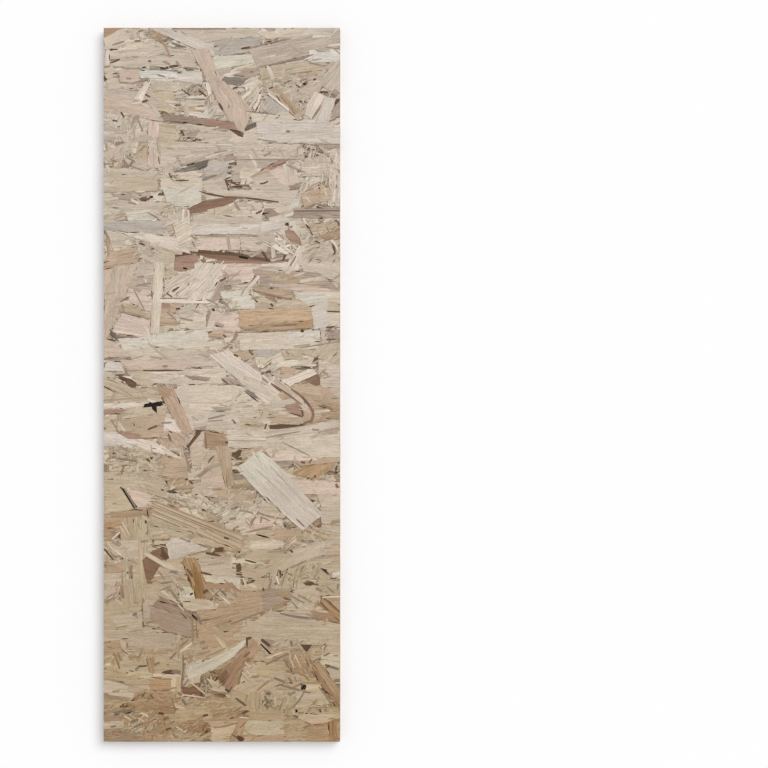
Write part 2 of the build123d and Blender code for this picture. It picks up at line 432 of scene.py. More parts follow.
        (199,191, 224,196.2, 1.4, 7, 2, -0.7), (244,197.6, 279,202, 1.9, 2, 4), (256,213.5, 262,210.5, 1.7),
        (285,224, 289,224.5, 3, 5, 3)),
    (VOID, 0, (150,196.5, 153,197, 1.8)), (IVORY, 1, (131,199.5, 139,203.5, 2.2)),
    (RUST, 0, (272,166.5, 286,162.5, 1.6, 6, 3), (224,196.4, 246,197.6, 1.5)),
    (RUST, 2, (230,187, 249,185, 2.2, 0, 2)), (IRON, -0.1, (294,211, 341,210.6, 1.3)),
    # Grey lens and the pink block above the long brown lens
    (103,221.5, 168,219.5, 165,236, 103,230, SMOKE, 3, 3, 0, (0, 2)),
    (158,208, 184,206, 184,224, 160,222, BEIGE, 5, 3), (106,231, 128,231, 124,247, 112,248, BEIGE, 5, 2),
    (136,230, 182,243, 176,252, 112,230, SAGE, 4, 3), (136,231, 176,238, 192,254, 150,243, PALE, 2.5, 3),
    (172,222, 188,216, 196,240, 180,252, CREAM, 2, 6),
    (190,222, 290,220.5, 286,234, 190,234.5, ASH, 3.5, 1.5),
    (192,213, 262,218, 262,224, 194,223, BEIGE, 3, 3), (200,237, 240,236, 240,250, 200,250, STRAW, 3, 1),
    (182,238, 200,238, 198,252, 184,250, ROSE, 4.5, 2),
    (196,238, 240,238.6, 240,249.6, 196,249.6, BLUSH, 3, 1),
    (240,236, 270,238, 266,252, 241,250, BEIGE, 5, 2), (256,235, 276,229, 274,242, 262,241, MAUVE, 2, 1),
    (109,252, 136,247, 138,262, 103,270, TAN, 2, 6), (109,250, 118,251, 116,264, 103,268, SIENNA, 1.5, 3),
    (136,244, 160,246, 170,262, 140,262, BEIGE, 5, 2), (160,246, 184,250, 176,268, 158,266, STRAW, 5, 4),
    (IVORY, 0, (184,207, 183,222, 2.6)),
    (PALE, 0, (188,207, 189,224, 2.4), (262,243, 278,250, 1.5)),
    (TAUPE, 0, (190,234.8, 262,236, 1.1, 3, 8)), (BEIGE, 0, (256,237, 283,250, 1.8, 3, 4)),
    (UMBER, 0, (191,235.5, 196,239.5, 1.8), (105,231, 110,243, 1.8, 2, 8, 0.6), (170,236, 175,233, 1.5)),
    (SLATE, 0, (192,241, 195,247, 1.8)), (SIENNA, 1, (108,238, 109,256, 3)),
    (BARK, 0, (139,243, 145,245, 2, 4, 7), (151,248.5, 154,249, 2)),
    # Olive fines and the speckled stick on the right
    (294,218, 341,218, 341,238, 296,238, BEIGE, 9, 4), (298,238, 341,238, 341,264, 300,264, BEIGE, 8, 4),
    (318,236.5, 341,227, 341,239, 326,240, BROWN, 2, 6), (305,225, 341,220, 341,228, 312,232, TAN, 4, 6),
    Strand((302, 247), (286, 273), 8, PALE, 0.1, (0.3, 0.2), (0, 0), 0.6),
    (TAUPE, 1, (250,257, 262,250, 3.6, 3, 4)),
    (BARK, 0, (306,224, 313,235, 1.7, 2, 7, -0.5), (335,220, 339,226, 1.8, 2, 4, 1.3),
        (315,241, 320,243, 1.6), (332,243, 335,254, 1.6, 3, 3, 1), (286,254, 283,260, 1.8),
        (262,251, 268,260, 1.6)),
    (BUFF, 0, (303,218, 310,232, 3, 3, 4)),
    (IVORY, 0, (331,240, 338,250, 2.4, 1.5, 1.5, 0.8), (278,243, 294,254, 1.7)),
    (UMBER, 0, (296,256, 290,266, 1.6), (270,262.5, 281,259.5, 1.6, 1.5, 1.5, -0.8)),
    (PALE, 0, (284,238, 297,249, 1.7)), (TAN, 0, (276,232, 292,244, 1.7)),
    # Floors of the open gaps: the deeper strands' tones, with painted shade in dark strips along the upper
    # edges and in the deepest spots
    (192,250, 270,258, 272,266, 204,264, RUST, 14.5, 7), (206,260, 270,261, 272,266, 206,265, SEPIA, 14.2, 6),
    (193,249.5, 234,252, 234,255.6, 193,253.4, BARK, 13.8, 3),
    (232,252, 270,259.5, 270,262, 232,255.6, BARK, 13.8, 3),
    (175,251, 200,256, 192,272, 174,274, SEPIA, 14.5, 4), (173,250, 192,250, 192,254.5, 174,257, BARK, 14, 3),
    (VOID, 13.4, (239,256.6, 248,258.3, 2.4), (183,268, 187,268.6, 1.8)),
    (186,204, 242,195, 230,204, 190,214, RUST, 14.5, 6), (220,75, 247,80, 245,85, 224,84, SLATE, 15, 8),
    (228,122, 238,128, 242,136, 232,136, BARK, 15, 2), (238,128, 259,121, 258,128, 242,136, IRON, 14, 3),
    (277,229, 298,230, 305,246, 284,237, SEPIA, 14, 2),
    # Steep grey strand, the window and the pale striped diagonal
    (139,262, 110,332, 103,348, 103,268, ROSE, 3, 4), (128,262, 160,262, 156,302, 128,300, MAUVE, 6, 2),
    (130,288, 152,290, 152,312, 120,304, BLUSH, 5, 3), (165,262, 159,334, 150,334, 154,262, CREAM, 1, 3),
    (160,298, 196,262, 228,264, 208,304, PALE, 3, 6), (164,280, 186,272, 200,280, 166,300, CREAM, 2, 8),
    (165,264, 178,262, 178,276, 166,279, STRAW, 4, 3), (IVORY, 1, (160,301, 212,302, 3.6, 0, 5)),
    (SEPIA, 0, (125,299, 129,298, 3.6, 5, 5)), (123,303, 137,305, 150,319, 124,313, HONEY, 3, 6),
    (122,313, 150,320, 150,338, 111,332, BLUSH, 3.5, 1.5), (110,329, 118,336, 117,340, 112,336, IRON, 0, 3),
    (118,339, 212,326, 212,352, 124,352, SAGE, 5, 2), (126,350, 222,340, 222,364, 132,360, CREAM, 4, 5),
    (160,348, 222,350, 218,366, 170,368, BEIGE, 3.5, 4), (103,338, 114,342, 132,356, 103,358, ROSE, 2, 1),
    (107,360, 120,362, 124,371, 103,371, ASH, 3, 1), (120,360, 196,359, 184,370, 128,370, ROSE, 2, 3),
    (148,371, 226,368, 226,384, 150,384, CREAM, 5, 5), (184,375, 211,377.5, 206,381.5, 190,379, UMBER, 1, 2),
    (126,371, 150,371, 150,386, 136,384, STRAW, 4, 3), (103,373, 136,390, 130,398, 103,386, STRAW, 3, 8),
    (112,384, 150,392, 148,401, 116,396, STRAW, 4, 6), (103,371, 116,373, 114,378, 103,376, BEIGE, 3),
    (114,376, 130,376, 138,384, 128,380, IVORY, 0, 2),
    (UMBER, 0, (160,298.3, 188,298.3, 1.2, 0, 6), (162,297, 169,291.5, 1.7), (137,277, 144,276.5, 1.5),
        (147,296, 154,293, 1.5), (134,290, 145,311, 1.2, 3, 5), (124,312, 148,319.5, 1.6, 2, 3, 1.4),
        (112,358.5, 131,357, 1.1, 6, 3, -1), (126,370.6, 137,370.3, 1.6, 2, 6),
        (162,366.5, 168,366, 2.6, 6, 7)),
    (BARK, 0, (172,291.5, 179,287, 2, 4, 3), (165,292, 172,297, 1.3), (145,370.6, 183,370.4, 1.9, 6, 8)),
    (IVORY, 0, (172,296, 184,284, 1.4), (178,297, 192,283, 1.4), (209,281, 219,269, 1.4),
        (213,282, 222,271, 1.4), (152,373, 184,371.8, 2.2, 4, 6)),
    (UMBER, 1, (135,286, 151,283, 2.4, 7, 5)), (OCHRE, 0, (124,307, 137,308, 1.3)),
    (SLATE, 0, (116,336.5, 139,337.3, 1.7, 0, 8)),
    # Orange strand and what lies about it
    (222,264, 264,262, 250,282, 222,286, BLUSH, 4, 4), (206,300, 222,268, 230,276, 216,306, TAUPE, 4, 4),
    (252,264, 300,262, 298,272, 262,271, PALE, 5, 3), (296,258, 330,260, 334,280, 304,271, BEIGE, 4, 1),
    (318,262, 341,262, 341,284, 322,276, BEIGE, 6, 4), (252,269, 318,272, 341,291, 262,288, TAUPE, 4, 7),
    (262,272, 300,274, 330,284, 290,288, TAN, 3, 7), (262,284, 300,284, 341,291, 300,292, ROSE, 2.5, 5),
    (248,286, 290,289, 296,299, 262,294, TAN, 2, 9), (252,297, 266,296, 280,303, 262,305, OLIVE, 2, 3),
    (PALE, 0, (259,276, 242,296, 3.8, 2, 3)), (180,314, 206,314, 206,330, 180,328, CREAM, 4.5, 3),
    (220,292, 246,290, 262,309, 226,309, SAGE, 4, 1.5), (294,292, 324,290, 328,303, 296,308, SAGE, 4, 3),
    (254,303, 300,299, 312,308, 256,311, STRAW, 3, 5), (310,308, 328,300, 330,326, 314,330, ASH, 4, 2),
    (324,290, 341,290, 341,328, 326,328, CREAM, 6, 2), (331,302, 341,303, 341,312, 325,311, STRAW, 2, 3),
    (239,309.5, 311,307.5, 313,320, 239,327, ORANGE, 0, 5),
    (240,326.5, 300,321, 312,328, 248,332.5, OCHRE, 0, 7),
    (292,323, 313,319, 312.5,328, 296,329, CARAMEL, 0, 4),
    (238,333, 320,331, 318,349, 240,350, CREAM, 3.5, 1.5), (288,332, 320,330, 320,342, 290,342, SAGE, 3, 2),
    (208,312, 240,314, 240,332, 206,332, BLUSH, 6, 4), (208,330.5, 223,330, 226,338, 209,338, HONEY, 1, 3),
    (TAUPE, 1, (215,323, 224,326, 3.4, 4, 6)), (320,327, 341,327, 341,341, 322,342, BEIGE, 5),
    (327,331, 341,330, 341,340, 328,340, TAUPE, 3, 4), (286,348, 318,342, 341,341, 341,366, STRAW, 4, 4),
    (282,350, 302,350, 302,360, 284,360, STRAW, 3), (252,349, 286,350, 284,360, 256,360, SMOKE, 4),
    (266,358, 281,352, 284,360, 272,366, CREAM, 1, 2), (254,358, 300,358, 296,368, 258,368, BUFF, 4, 3),
    (232,352, 248,350, 254,358, 242,361, TAN, 2, 3), (229,350, 281,388, 266,405, 209,355, PALE, 0.5, 6),
    (244,374, 281,392, 266,405, 242,386, CREAM, 0.3, 6), (221,378, 236,379, 245,386, 224,384, TAUPE, 0.2, 3),
    (272,377, 288,387, 284,393, 270,383, OLIVE, 1, 4), (280,366, 297,368, 290,381, 282,382, SIENNA, 3, 2),
    (318,360, 341,358, 341,402, 320,400, BEIGE, 5, 3), (281,381, 312,367.5, 317,374, 290,386, IVORY, 0, 5),
    (290,388, 320,385, 323,400, 298,402, HONEY, 3.5, 3), (159,303, 170,303, 170,311, 159,311, SEPIA, 7.5, 4),
    (168,303, 184,303, 186,314, 168,312, SIENNA, 8, 2), (159,309, 172,311, 178,325, 159,325, HONEY, 7, 4),
    (176,308, 194,303, 194,322, 180,322, BEIGE, 6.5, 3), (112,373, 126,377, 138,383, 132,388, BARK, 14.5, 3),
    (126,379, 138,382, 136,388, 128,386, BARK, 14, 0), (302,380, 316,373, 322,380, 318,387, RUST, 14, 4),
    (TAUPE, 0, (221,288, 241,270, 1.3, 2, 6), (261,302.5, 269,305, 3, 5, 4), (240,331.5, 262,332.5, 1.5)),
    (BARK, 0, (220,281, 226,278, 1.8), (270.5,303.5, 273,306.5, 2), (327,311.3, 341,311.8, 1.4),
        (301,330.5, 304,331.5, 2.4, 3, 6), (223,335, 226,337, 1.8), (208,333, 212,331.5, 1.4),
        (326,327.5, 335,326.5, 1.8, 4, 6), (234,354.5, 238,356.5, 2), (249.5,351.5, 253,355, 1.4),
        (222,379, 228,384, 1.4), (261,374, 270.5,371, 2.2, 2, 2), (270,371, 273,376, 1.4),
        (271,384, 281,391.5, 1.4)),
    (SEPIA, 0, (252,290, 292,299.5, 1.8, 5, 4), (237,331, 231,342, 3, 3, 4, 1.6)),
    (SEPIA, 1, (265,296, 277,302, 2.8)),
    (UMBER, 0, (251,299, 259,297, 2, 7, 2), (209,336.5, 222,338, 1.3), (210,311, 207,322, 2.4, 2, 5),
        (206,299, 217,304, 1.8, 4, 6), (219,300, 229,308, 2.4, 3, 5, 1), (300,348, 341,341, 1.2, 6, 2),
        (230,380, 234,385, 1.4), (274,375.5, 279,376, 1.5), (262,378, 268,383, 2), (322,371, 328,375, 1.6)),
    (RUST, 0, (271,326, 284,325.6, 1.2, 6, 2), (283,325.3, 297,324.4, 2, 1, 5)),
    (VOID, 0, (212.5,310, 216,309, 2.4, 3, 5), (229.5,348.5, 232.5,347.5, 2.2, 4, 4)),
    (OCHRE, 1, (206,351, 224,352, 2.6, 7, 5)), (TAUPE, 1, (248,362, 262,373, 2.6)),
    (RUST, 1.5, (291,367, 313,367.5, 2.6, 6, 5)), (UMBER, 0.5, (282,386, 315,372.5, 1)),
    (UMBER, 6, (167,312, 176,320, 1.6)), (OCHRE, 3, (160,322.5, 186,323.5, 1.6, 0, 8)),
    (BARK, 5, (176,309, 180,308.5, 2.2)), (UMBER, 2, (180,318, 193,320.5, 1.7)),
    # Black void, tan strand and the knot
    (103,390, 150,388, 148,402, 103,403, STRAW, 4, 8), (146,384, 159,388, 163,404, 148,400, STRAW, 4, 4),
    (PALE, 0, (103,406, 140,404.8, 5.6, 0, 4)), (136,403, 150,401, 146,406, 136,409, ROSE, 2, 3),
    (103,408, 166,405, 164,424, 103,420, STRAW, 4, 4), (103,409.5, 127,410, 120,414, 103,414.5, SEPIA, 1, 3),
    (110,421, 166,412, 162,438, 124,438, TAN, 3.5, 4), (103,414, 112,420, 118,434, 103,433, TAN, 3, 2),
    (120,431, 137,434, 143,439, 129,439, SEPIA, 1, 3), (160,416, 186,422, 186,446, 160,440, PALE, 5, 2),
    (172,388, 190,392, 192,414, 176,408, BEIGE, 3.5, 1), (176,384, 300,386, 300,432, 188,430, CREAM, 5, 3.5),
    (188,399, 260,400, 262,412, 190,410, CREAM, 3.5, 4), (192,412, 262,412, 262,430, 194,430, BEIGE, 4, 3),
    (173,386, 193,432, 184,436, 156,387, SIENNA, 1, 5), (157,385, 172,390, 168,398, 160,396, BROWN, 0.5, 4),
    (103,431, 141,437, 142,449, 103,446, ASH, 3, 2), (138,437, 160,444, 184,460, 138,448, PALE, 1.5, 3),
    (156,430, 186,434, 184,457, 158,443, SIENNA, 4, 4), (114,446, 166,446, 170,480, 112,478, STRAW, 8, 3),
    (136,450, 152,448, 150,458, 138,457, OLIVE, 3, 2), (160,458, 188,456, 188,478, 162,478, HONEY, 5, 4),
    (188,436, 206,430, 206,452, 190,452, ROSE, 4, 3), (205,431, 224,433, 228,451, 204,448, BROWN, 1, 5),
    (229,446, 234,486, 226,487, 215,446, TAN, 1, 5),
    Strand((229, 468), (230, 486), 7, OCHRE, 0.05, (0.4, 0.2), (0, 0), 0.4),
    (UMBER, 0, (200,428.5, 206,428, 3.4, 4, 3)), (190,450, 220,450, 224,466, 192,469, STRAW, 3.5, 2),
    (198,470, 224,464, 225,482, 202,486, ROSE, 3, 1), (188,468, 200,470, 200,480, 188,480, BEIGE, 2, 1),
    (167,480, 192,479, 194,489, 168,489, OCHRE, 4, 3), (194,482, 226,482, 226,498, 190,496, ROSE, 6, 3),
    (160,494, 200,494, 226,512, 186,506, CREAM, 5, 4), (103,472, 158,470, 176,500, 103,494, STRAW, 6, 4),
    (138,474, 160,482, 176,502, 150,494, STRAW, 3, 7), (103,484, 124,484, 134,512, 103,514, OLIVE, 5, 1),
    (126,487, 150,495, 152,507, 136,507, BLUSH, 2, 1), (SLATE, 14.5, (122,485, 138,511, 6.0)),
    (SLATE, 0.3, (246,390.5, 257,398, 4.0, 3, 7)), (258,404, 274,404, 274,420, 260,420, STRAW, 3, 3),
    (240,422, 258,416, 268,430, 242,432, STRAW, 3, 3), (226,430, 272,430, 270,448, 228,448, CREAM, 3, 6),
    (262,428, 296,426, 300,440, 266,440, ROSE, 4, 4), (270,384, 320,384, 341,400, 300,424, SIENNA, 4, 6),
    (284,398, 300,396, 308,410, 292,418, BROWN, 2, 6), (302,392, 341,400, 341,421, 304,425, TAN, 3, 6),
    (270,411, 306,412, 308,424, 270,423, TAN, 2.5, 3), (270,402, 296,398, 296,408, 274,412, BEIGE, 2, 4),
    (318,399, 341,404, 341,420, 322,418, OCHRE, 2, 7), (320,401, 338,406, 336,412, 322,407, OCHRE, 1, 7),
    (285,405, 299,403, 304,416, 288,412, SEPIA, 1, 5),
    Strand((298, 402.5), (303, 416), 1.8, BARK, 0.0, (0.4, 0.2), (0, 0), 0.3, 0.9),
    (BARK, 0, (290,413, 303,416.8, 1.5, 6, 2)),
    Strand((305, 403), (307, 423), 6.5, SIENNA, 0.01, (0.2, 0.3), (0, 0), 0.5, 1.8),
    Strand((271, 383.5), (302, 405), 1.9, RUST, -0.01, (0.1, 0.5), (0, 0), 0.3, 0.8),
    Strand((276, 382), (307, 409), 6.4, ROSE, 0.0, (0.2, 0.1), (0, 0), 0.6, 1.8),
    Strand((291, 389), (312.6, 411), 2.6, RUST, -0.02, (0.5, 0.0), (0, 0), 0.4, 2.2),
    Strand((312.3, 409), (310, 423), 2.8, RUST, -0.02, (0.0, 0.1), (0, 0), 0.4, 1.9),
    Strand((311, 421), (302, 425.2), 2.6, RUST, -0.02, (0.1, 0.6), (0, 0), 0.4, -0.8),
    Strand((301.5, 396.5), (309.5, 407), 1.4, BARK, -0.03, (0.5, 0.5), (0, 0), 0.3, 0.5),
    (268,430, 341,419.5, 341,429, 272,438, BEIGE, 1.5, 3),
    (324,430, 340,426.5, 337,434, 330,434.5, TAUPE, 0.5, 3),
    (288,435, 341,430, 341,457, 298,458, CREAM, 3, 1), (266,438, 292,436, 300,446, 270,448, BEIGE, 3, 2),
    (262,446, 300,446, 318,460, 274,462, BLUSH, 3.5, 1), (241,452, 262,446, 266,452, 242,460, HONEY, 1.5, 3),
    (218,488, 252,490, 256,501, 218,500, HONEY, 5, 2), (218,498, 292,498, 300,514, 218,514, BEIGE, 7, 3),
    (262,449, 301,488, 268,503, 236,468, SAGE, 0.5, 2), (284,472, 323,514, 302,531, 254,487, ASH, 0.3, 2),
    (273.5,461, 294,460.5, 290,466, 281,468, TAUPE, 0, 4), (231,473, 238,472, 243,479, 234,479, UMBER, 0, 4),
    (292,458, 341,452, 341,462, 300,466, TAN, 4), (292,474, 316,459, 341,457, 320,480, CARAMEL, 7.5, 3),
    (288,479, 341,482, 341,495, 302,494, BLUSH, 3, 1), (316,492, 341,490, 341,524, 326,520, BEIGE, 4, 2),
    (141,406, 150,402, 156,406, 144,409, VOID, 14, 0), (148,404, 164,401, 162,408, 150,414, VOID, 14, 0),
    (270,422, 290,422, 308,425, 270,430, BARK, 14, 5), (232,450, 242,450, 243,460, 232,460, BARK, 14, 3),
    (184,448, 198,428, 203,431, 189,451, BARK, 14, 3), (166,489, 178,490, 182,495, 168,495, BARK, 14, 1),
    (OCHRE, 0, (103,400.5, 146,397.5, 1.5, 0, 6)), (IVORY, 0, (147,399.5, 161,404, 3, 5, 4)),
    (UMBER, 0, (110.5,419, 119,433, 1.4), (118,432, 129,438.5, 1.6), (156,426, 164,426, 1.4),
        (208,421, 223,420, 1), (136.5,460, 137.5,470, 1.6), (120,446, 130,452, 1.6), (153,453, 157,455, 2.2),
        (155,461, 162,456, 1.5), (157,441, 160,445, 1.6), (182,443, 187,458, 1.5),
        (186,456, 190.5,473, 2.4, 3, 3), (178,493, 183,495.5, 1.5), (178,499.5, 186,502, 1.7),
        (310,424, 337,418, 1.4), (266,437.5, 300,431.5, 1.5, 3, 6), (312,429.5, 319,430, 1.8),
        (282,442, 310,456, 1.2, 6, 6), (262,451, 270,457, 1.7, 4, 5), (248,487.5, 255,490.5, 2.2, 3, 6),
        (225,503, 228,503.5, 1.8)),
    (VOID, 0, (131.5,425, 134.5,424.8, 2.4, 4, 4), (120.5,487, 135,508.5, 1.5)),
    (BARK, 0, (148,429.5, 157,425.8, 1.8, 2, 0), (146,459, 150,461.5, 1.8), (150,458, 153,457.5, 1.8),
        (225.5,442, 228,443, 2.2), (185,479.5, 188,479, 1.8), (189.5,480.5, 192.5,484, 1.9),
        (161,489.5, 164,490.5, 2), (202,509.5, 208,510.5, 1.8), (232,419.8, 235.5,423.5, 1.9),
        (266.5,424, 264.8,429, 1.5), (337,466, 335.5,472, 1.8)),
    (SLATE, 0, (161,423, 172,422.5, 1.7, 3, 6), (208,419, 225,415, 1.6, 3, 5), (114,458, 136,461, 1.8, 5, 1)),
    (ROSE, 1, (190,402, 223,403.5, 1.8, 5, 6)),
    (RUST, 0, (205,432, 206.5,449, 1.6), (322,404.5, 333,410, 1.8, 4, 4), (336,484, 338,488, 2.4)),
    (UMBER, 0, (198,477, 210,468, 3.2)),
    (TAUPE, 0, (206,468.5, 222,463.5, 2.8, 2, 6), (228,440.6, 267,440.8, 1.2, 3, 5)),
    (VOID, 14, (121.5,487, 134.5,509, 1.5), (125.5,487, 136.6,507, 1.4)),
    (UMBER, 14, (124.5,488, 135.5,506, 1.5)), (BROWN, 0, (318,421, 330,414.5, 2.6, 5, 4)),
    (SMOKE, 0, (255,468, 290,500, 1.2, 6, 6), (270,466, 306,504, 1.2, 6, 6)),
    (CARAMEL, 6, (294,473, 318,462, 2.4)),
    (BARK, 1, (312,481, 315.5,475.5, 2.2, 3, 3), (301,462, 305,463, 2)),
    (RUST, 1, (309,463, 312,459, 1.7)),
    # Striped strand, the two brown windows and the big tan strand
    (103,506, 150,506, 150,524, 103,524, SIENNA, 7, 3), (110,512, 156,509, 152,516, 112,518, OCHRE, 3, 6),
    (118,516, 121,541, 136,542, 134,516, HONEY, 5, 5), (103,518, 120,518, 120,531, 103,530, TAN, 4, 4),
    (103,530, 113,529, 115,540, 103,541, OCHRE, 2, 2), (CARAMEL, 1.5, (104,526, 120,524, 6, 4, 4)),
    (134,512, 131,560, 152,560, 150,512, STRAW, 4.5, 5), (138,520, 139,600, 146,602, 148,520, OLIVE, 3.5, 5),
    (112,541, 152,540, 152,560, 118,560, BEIGE, 4, 1.5), (150,515, 236,540, 236,552, 150,534, STRAW, 6, 5),
    (166,529, 226,540, 226,550, 168,538, STRAW, 4, 6), (218,532, 244,538, 244,551, 218,548, ORANGE, 3.5, 5),
    (154,501, 243,535, 241,551, 149,516, STRAW, 1.2, 3), (150,512, 176,521, 190,531, 152,526, STRAW, 1, 4),
    (BROWN, 0, (149,508, 150,516, 3.4, 3, 6)), (150,530, 170,530, 168,539, 150,539, OLIVE, 3.5, 4),
    (166,560, 184,550, 186,572, 168,572, OLIVE, 5, 3), (165,543, 173,536.5, 192,543, 170,560, ASH, 1, 0.5),
    (172,538, 192,542, 209,549.5, 170,560, ASH, 0.8, 0.5), (OLIVE, 0, (156,546, 166,548, 3.4, 3, 4)),
    (184,558, 226,553, 228,562, 184,566, SIENNA, 4, 4), (184,557, 206,552, 226,556, 190,560, STRAW, 3, 3),
    (198,559, 236,558, 236,580, 204,580, BEIGE, 4, 2), (202,575, 213,575, 216,583, 206,582, BUFF, 1, 2),
    (212,576, 240,578, 240,590, 214,588, SAGE, 3, 3), (203,584, 232,583, 242,593, 206,592, BROWN, 1.5, 6),
    (204,590, 218,590, 214,600, 206,600, BROWN, 2, 4), (178,586, 200,588, 200,602, 180,602, SAGE, 3, 2),
    (196,558, 206,584, 192,590, 183,558, CARAMEL, 1, 9), (200,572, 206,598, 196,599, 190,570, GOLD, 0.5, 7),
    Strand((184, 560), (194, 586), 4.0, CARAMEL, 0.0, (0.2, 0.3), (0, 0), 0.8),
    (156,566, 186,570, 188,586, 152,584, STRAW, 5, 4), (152,554, 186,572, 164,568, 142,553, CREAM, 0.5, 3),
    (144,584, 176,583, 180,600, 146,600, STRAW, 5, 3), (103,538, 128,540, 128,562, 103,562, BEIGE, 6, 4),
    (TAUPE, 0, (112,541, 120,546, 3.6, 3, 5)), (106,559, 128,561, 126,571, 106,572, TAN, 3, 3),
    (103,573, 128,572, 128,600, 103,600, BEIGE, 5, 3), (121,562, 123,604, 140,604, 139,560, STRAW, 4, 5),
    (UMBER, 0, (130,566, 131.5,578.5, 3.2, 3, 4)), (121,585, 118.5,598, 124.5,598, 122.5,586, SEPIA, 1, 3),
    (103,600, 142,600, 140,632, 103,634, STRAW, 5, 2), (110,616, 142,612, 142,630, 118,632, BEIGE, 3.5, 3),
    (142,596, 162,598, 164,636, 144,634, MAUVE, 5, 3), (160,597, 192,612, 190,618, 152,606, UMBER, 1, 3),
    (150,607, 190,613, 192,632, 150,622, TAUPE, 1.5, 4), (160,612, 191,620, 193,638, 160,630, TAUPE, 1, 3),
    (UMBER, 0, (160,600, 178,605, 3.4, 2, 5)), (CREAM, 0, (160,591, 179,603, 3.4, 3, 4)),
    (180,600, 240,600, 240,612, 186,612, CREAM, 5, 3), (196,610, 246,608, 240,632, 198,638, TAN, 4, 4),
    (UMBER, 0, (193,613, 199.5,619, 4.2, 6, 3)),
    (SEPIA, 0, (111,532, 115,534, 2.2), (153,503.5, 239,539.5, 1.4), (151.5,508, 206,530.5, 1.2),
        (150.5,512.4, 188,528, 1.2)),
    (OCHRE, 0, (108,523, 110.5,523.5, 2), (206,529, 242,544, 1.1), (204,532, 238,548, 1.1),
        (198,533, 228,547, 1), (152,536, 161,535.6, 1.4), (150,539.2, 168,539, 1.4),
        (147,625, 164,629, 1.3, 2, 2, -1.2)),
    (IVORY, 0, (112,539, 120,532, 1.8), (115,550, 122,556, 1.5), (178,604, 184,611, 1.5)),
    (BUFF, 0, (122,522, 130,536, 1.5), (120,526, 127,538, 1.5), (107,542, 114,551, 1.5)),
    (UMBER, 0, (141,541.8, 148,541, 1.9), (145.5,533, 148.5,534, 2.6, 4, 4), (180,538, 190.5,542.5, 1.3),
        (160,546.5, 164,549, 1.6), (212,598, 217,592, 1.6), (219,589, 226,596, 1.7), (181,562, 186,567, 1.5),
        (161,583.5, 173,581.5, 2, 3, 6), (160,590.5, 171,586.5, 1.6), (110,552, 116,558, 1.4),
        (105,602, 117,597, 1.6), (135,615, 137.5,617.5, 1.6), (160,597, 178,605, 1.6),
        (170,589, 177.5,600, 2.4, 4, 3), (176,586, 184,590, 1.5), (190.5,612, 192.5,641, 1.9, 3, 3, 0.8),
        (146,623.5, 151,622, 1.9), (143,598, 143.5,603, 1.5)),
    (BARK, 0, (145.3,520.5, 146.3,523.5, 2.4, 4, 4), (224,537.5, 229,539, 2), (205.5,553, 221,556, 2.3, 2, 7),
        (200.5,572.5, 212,575, 1.9, 4, 5), (203,593, 207.5,590, 2.4), (187,569, 192.5,577, 1.8),
        (104,548.5, 113.5,560, 1.7), (127,572, 132,578, 2)),
    (BROWN, 0, (155,501.5, 241,535.5, 1.5), (152,505.8, 214,531.5, 1.2), (151,510.2, 197,529, 1.2),
        (150,514.6, 180,527, 1.2), (214,530, 242,541, 1.1), (224,580, 241,592, 1.8, 5, 2),
        (158,571, 165,579, 1.5), (148,622, 165,623, 1.3, 2, 2, 1.2)),
    (BUFF, -0.1, (156,504, 206,524.5, 0.9), (154,509.3, 200,528, 0.9), (152,513.5, 182,526, 0.9)),
    (BUFF, 0.5, (152,532, 164,532, 3, 3, 5)),
    (MAUVE, 0, (200,562.6, 217,561.2, 1.6, 3, 5), (168,574.5, 182,575.5, 1.4)),
    (TAUPE, 0, (208,564.6, 224,563, 1.5, 3, 5), (107,598, 113,594, 1.6)),
    (RUST, 0, (210,600, 213,598.5, 2.4)),
    (VOID, 0, (190,595, 193,593, 1.7, 3, 6), (120.5,559, 123,558.5, 2.4, 4, 4)),
    (GOLD, 0, (193,563, 201,583, 2.6, 3, 3)),
    (SLATE, 0, (170,571, 177,573, 1.8), (132.5,615.5, 137,613.5, 3, 6, 3), (198,617, 201,624, 2)),
    (SIENNA, 0, (150,581, 160,577, 1.8), (116,588, 119,598, 2)),
    (SMOKE, 0, (120,548.5, 128,549.5, 2.6, 4, 4)), (TAN, 1, (103,572, 122,571, 3)),
    # Right side from the round hole to the dark wedge
    (220,506, 258,508, 256,524, 222,522, STRAW, 5, 2), (224,520, 244,518, 240,530, 226,530, BLUSH, 3, 1),
    (238,516, 258,510, 256,534, 240,536, CREAM, 4, 2), (254,510, 282,512, 284,528, 250,530, BLUSH, 3, 3),
    (240,532, 286,528, 290,548, 240,550, STRAW, 5, 3), (272,528, 300,527, 306,546, 276,544, TAN, 4, 3),
    (250,541, 284,541, 284,549, 250,549, CREAM, 3, 2), (240,548, 286,550, 284,562, 240,562, STRAW, 3.5, 4),
    (SLATE, 0, (284,522, 290.5,529, 3.2, 6, 2)), (304,526, 341,532, 341,548, 300,541, STRAW, 4.5, 6),
    (320,508, 341,508, 341,534, 322,530, BEIGE, 4, 5), (304,545, 341,540, 341,562, 310,560, STRAW, 4, 3),
    (240,563, 282,568, 252,581, 242,576, STRAW, 1.5, 2), (268,562, 300,545, 312,558, 270,577, STRAW, 1.2, 2),
    (290,551, 330,540, 326,555, 296,565, BEIGE, 1, 1.5), (232,557, 248,559, 270,565, 232,564, BUFF, 1, 2),
    (284,566, 341,556, 341,584, 288,584, STRAW, 5, 4), (284,564, 282,586, 300,584, 306,562, OLIVE, 3.5, 5),
    (332,573, 341,571, 341,579, 333,579, FROST, 2, 1), (318,584, 341,580, 341,596, 320,596, STRAW, 3, 5),
    (240,578, 290,576, 290,594, 240,594, STRAW, 5, 4), (292,583, 320,586, 320,602, 292,598, BEIGE, 4, 1.5),
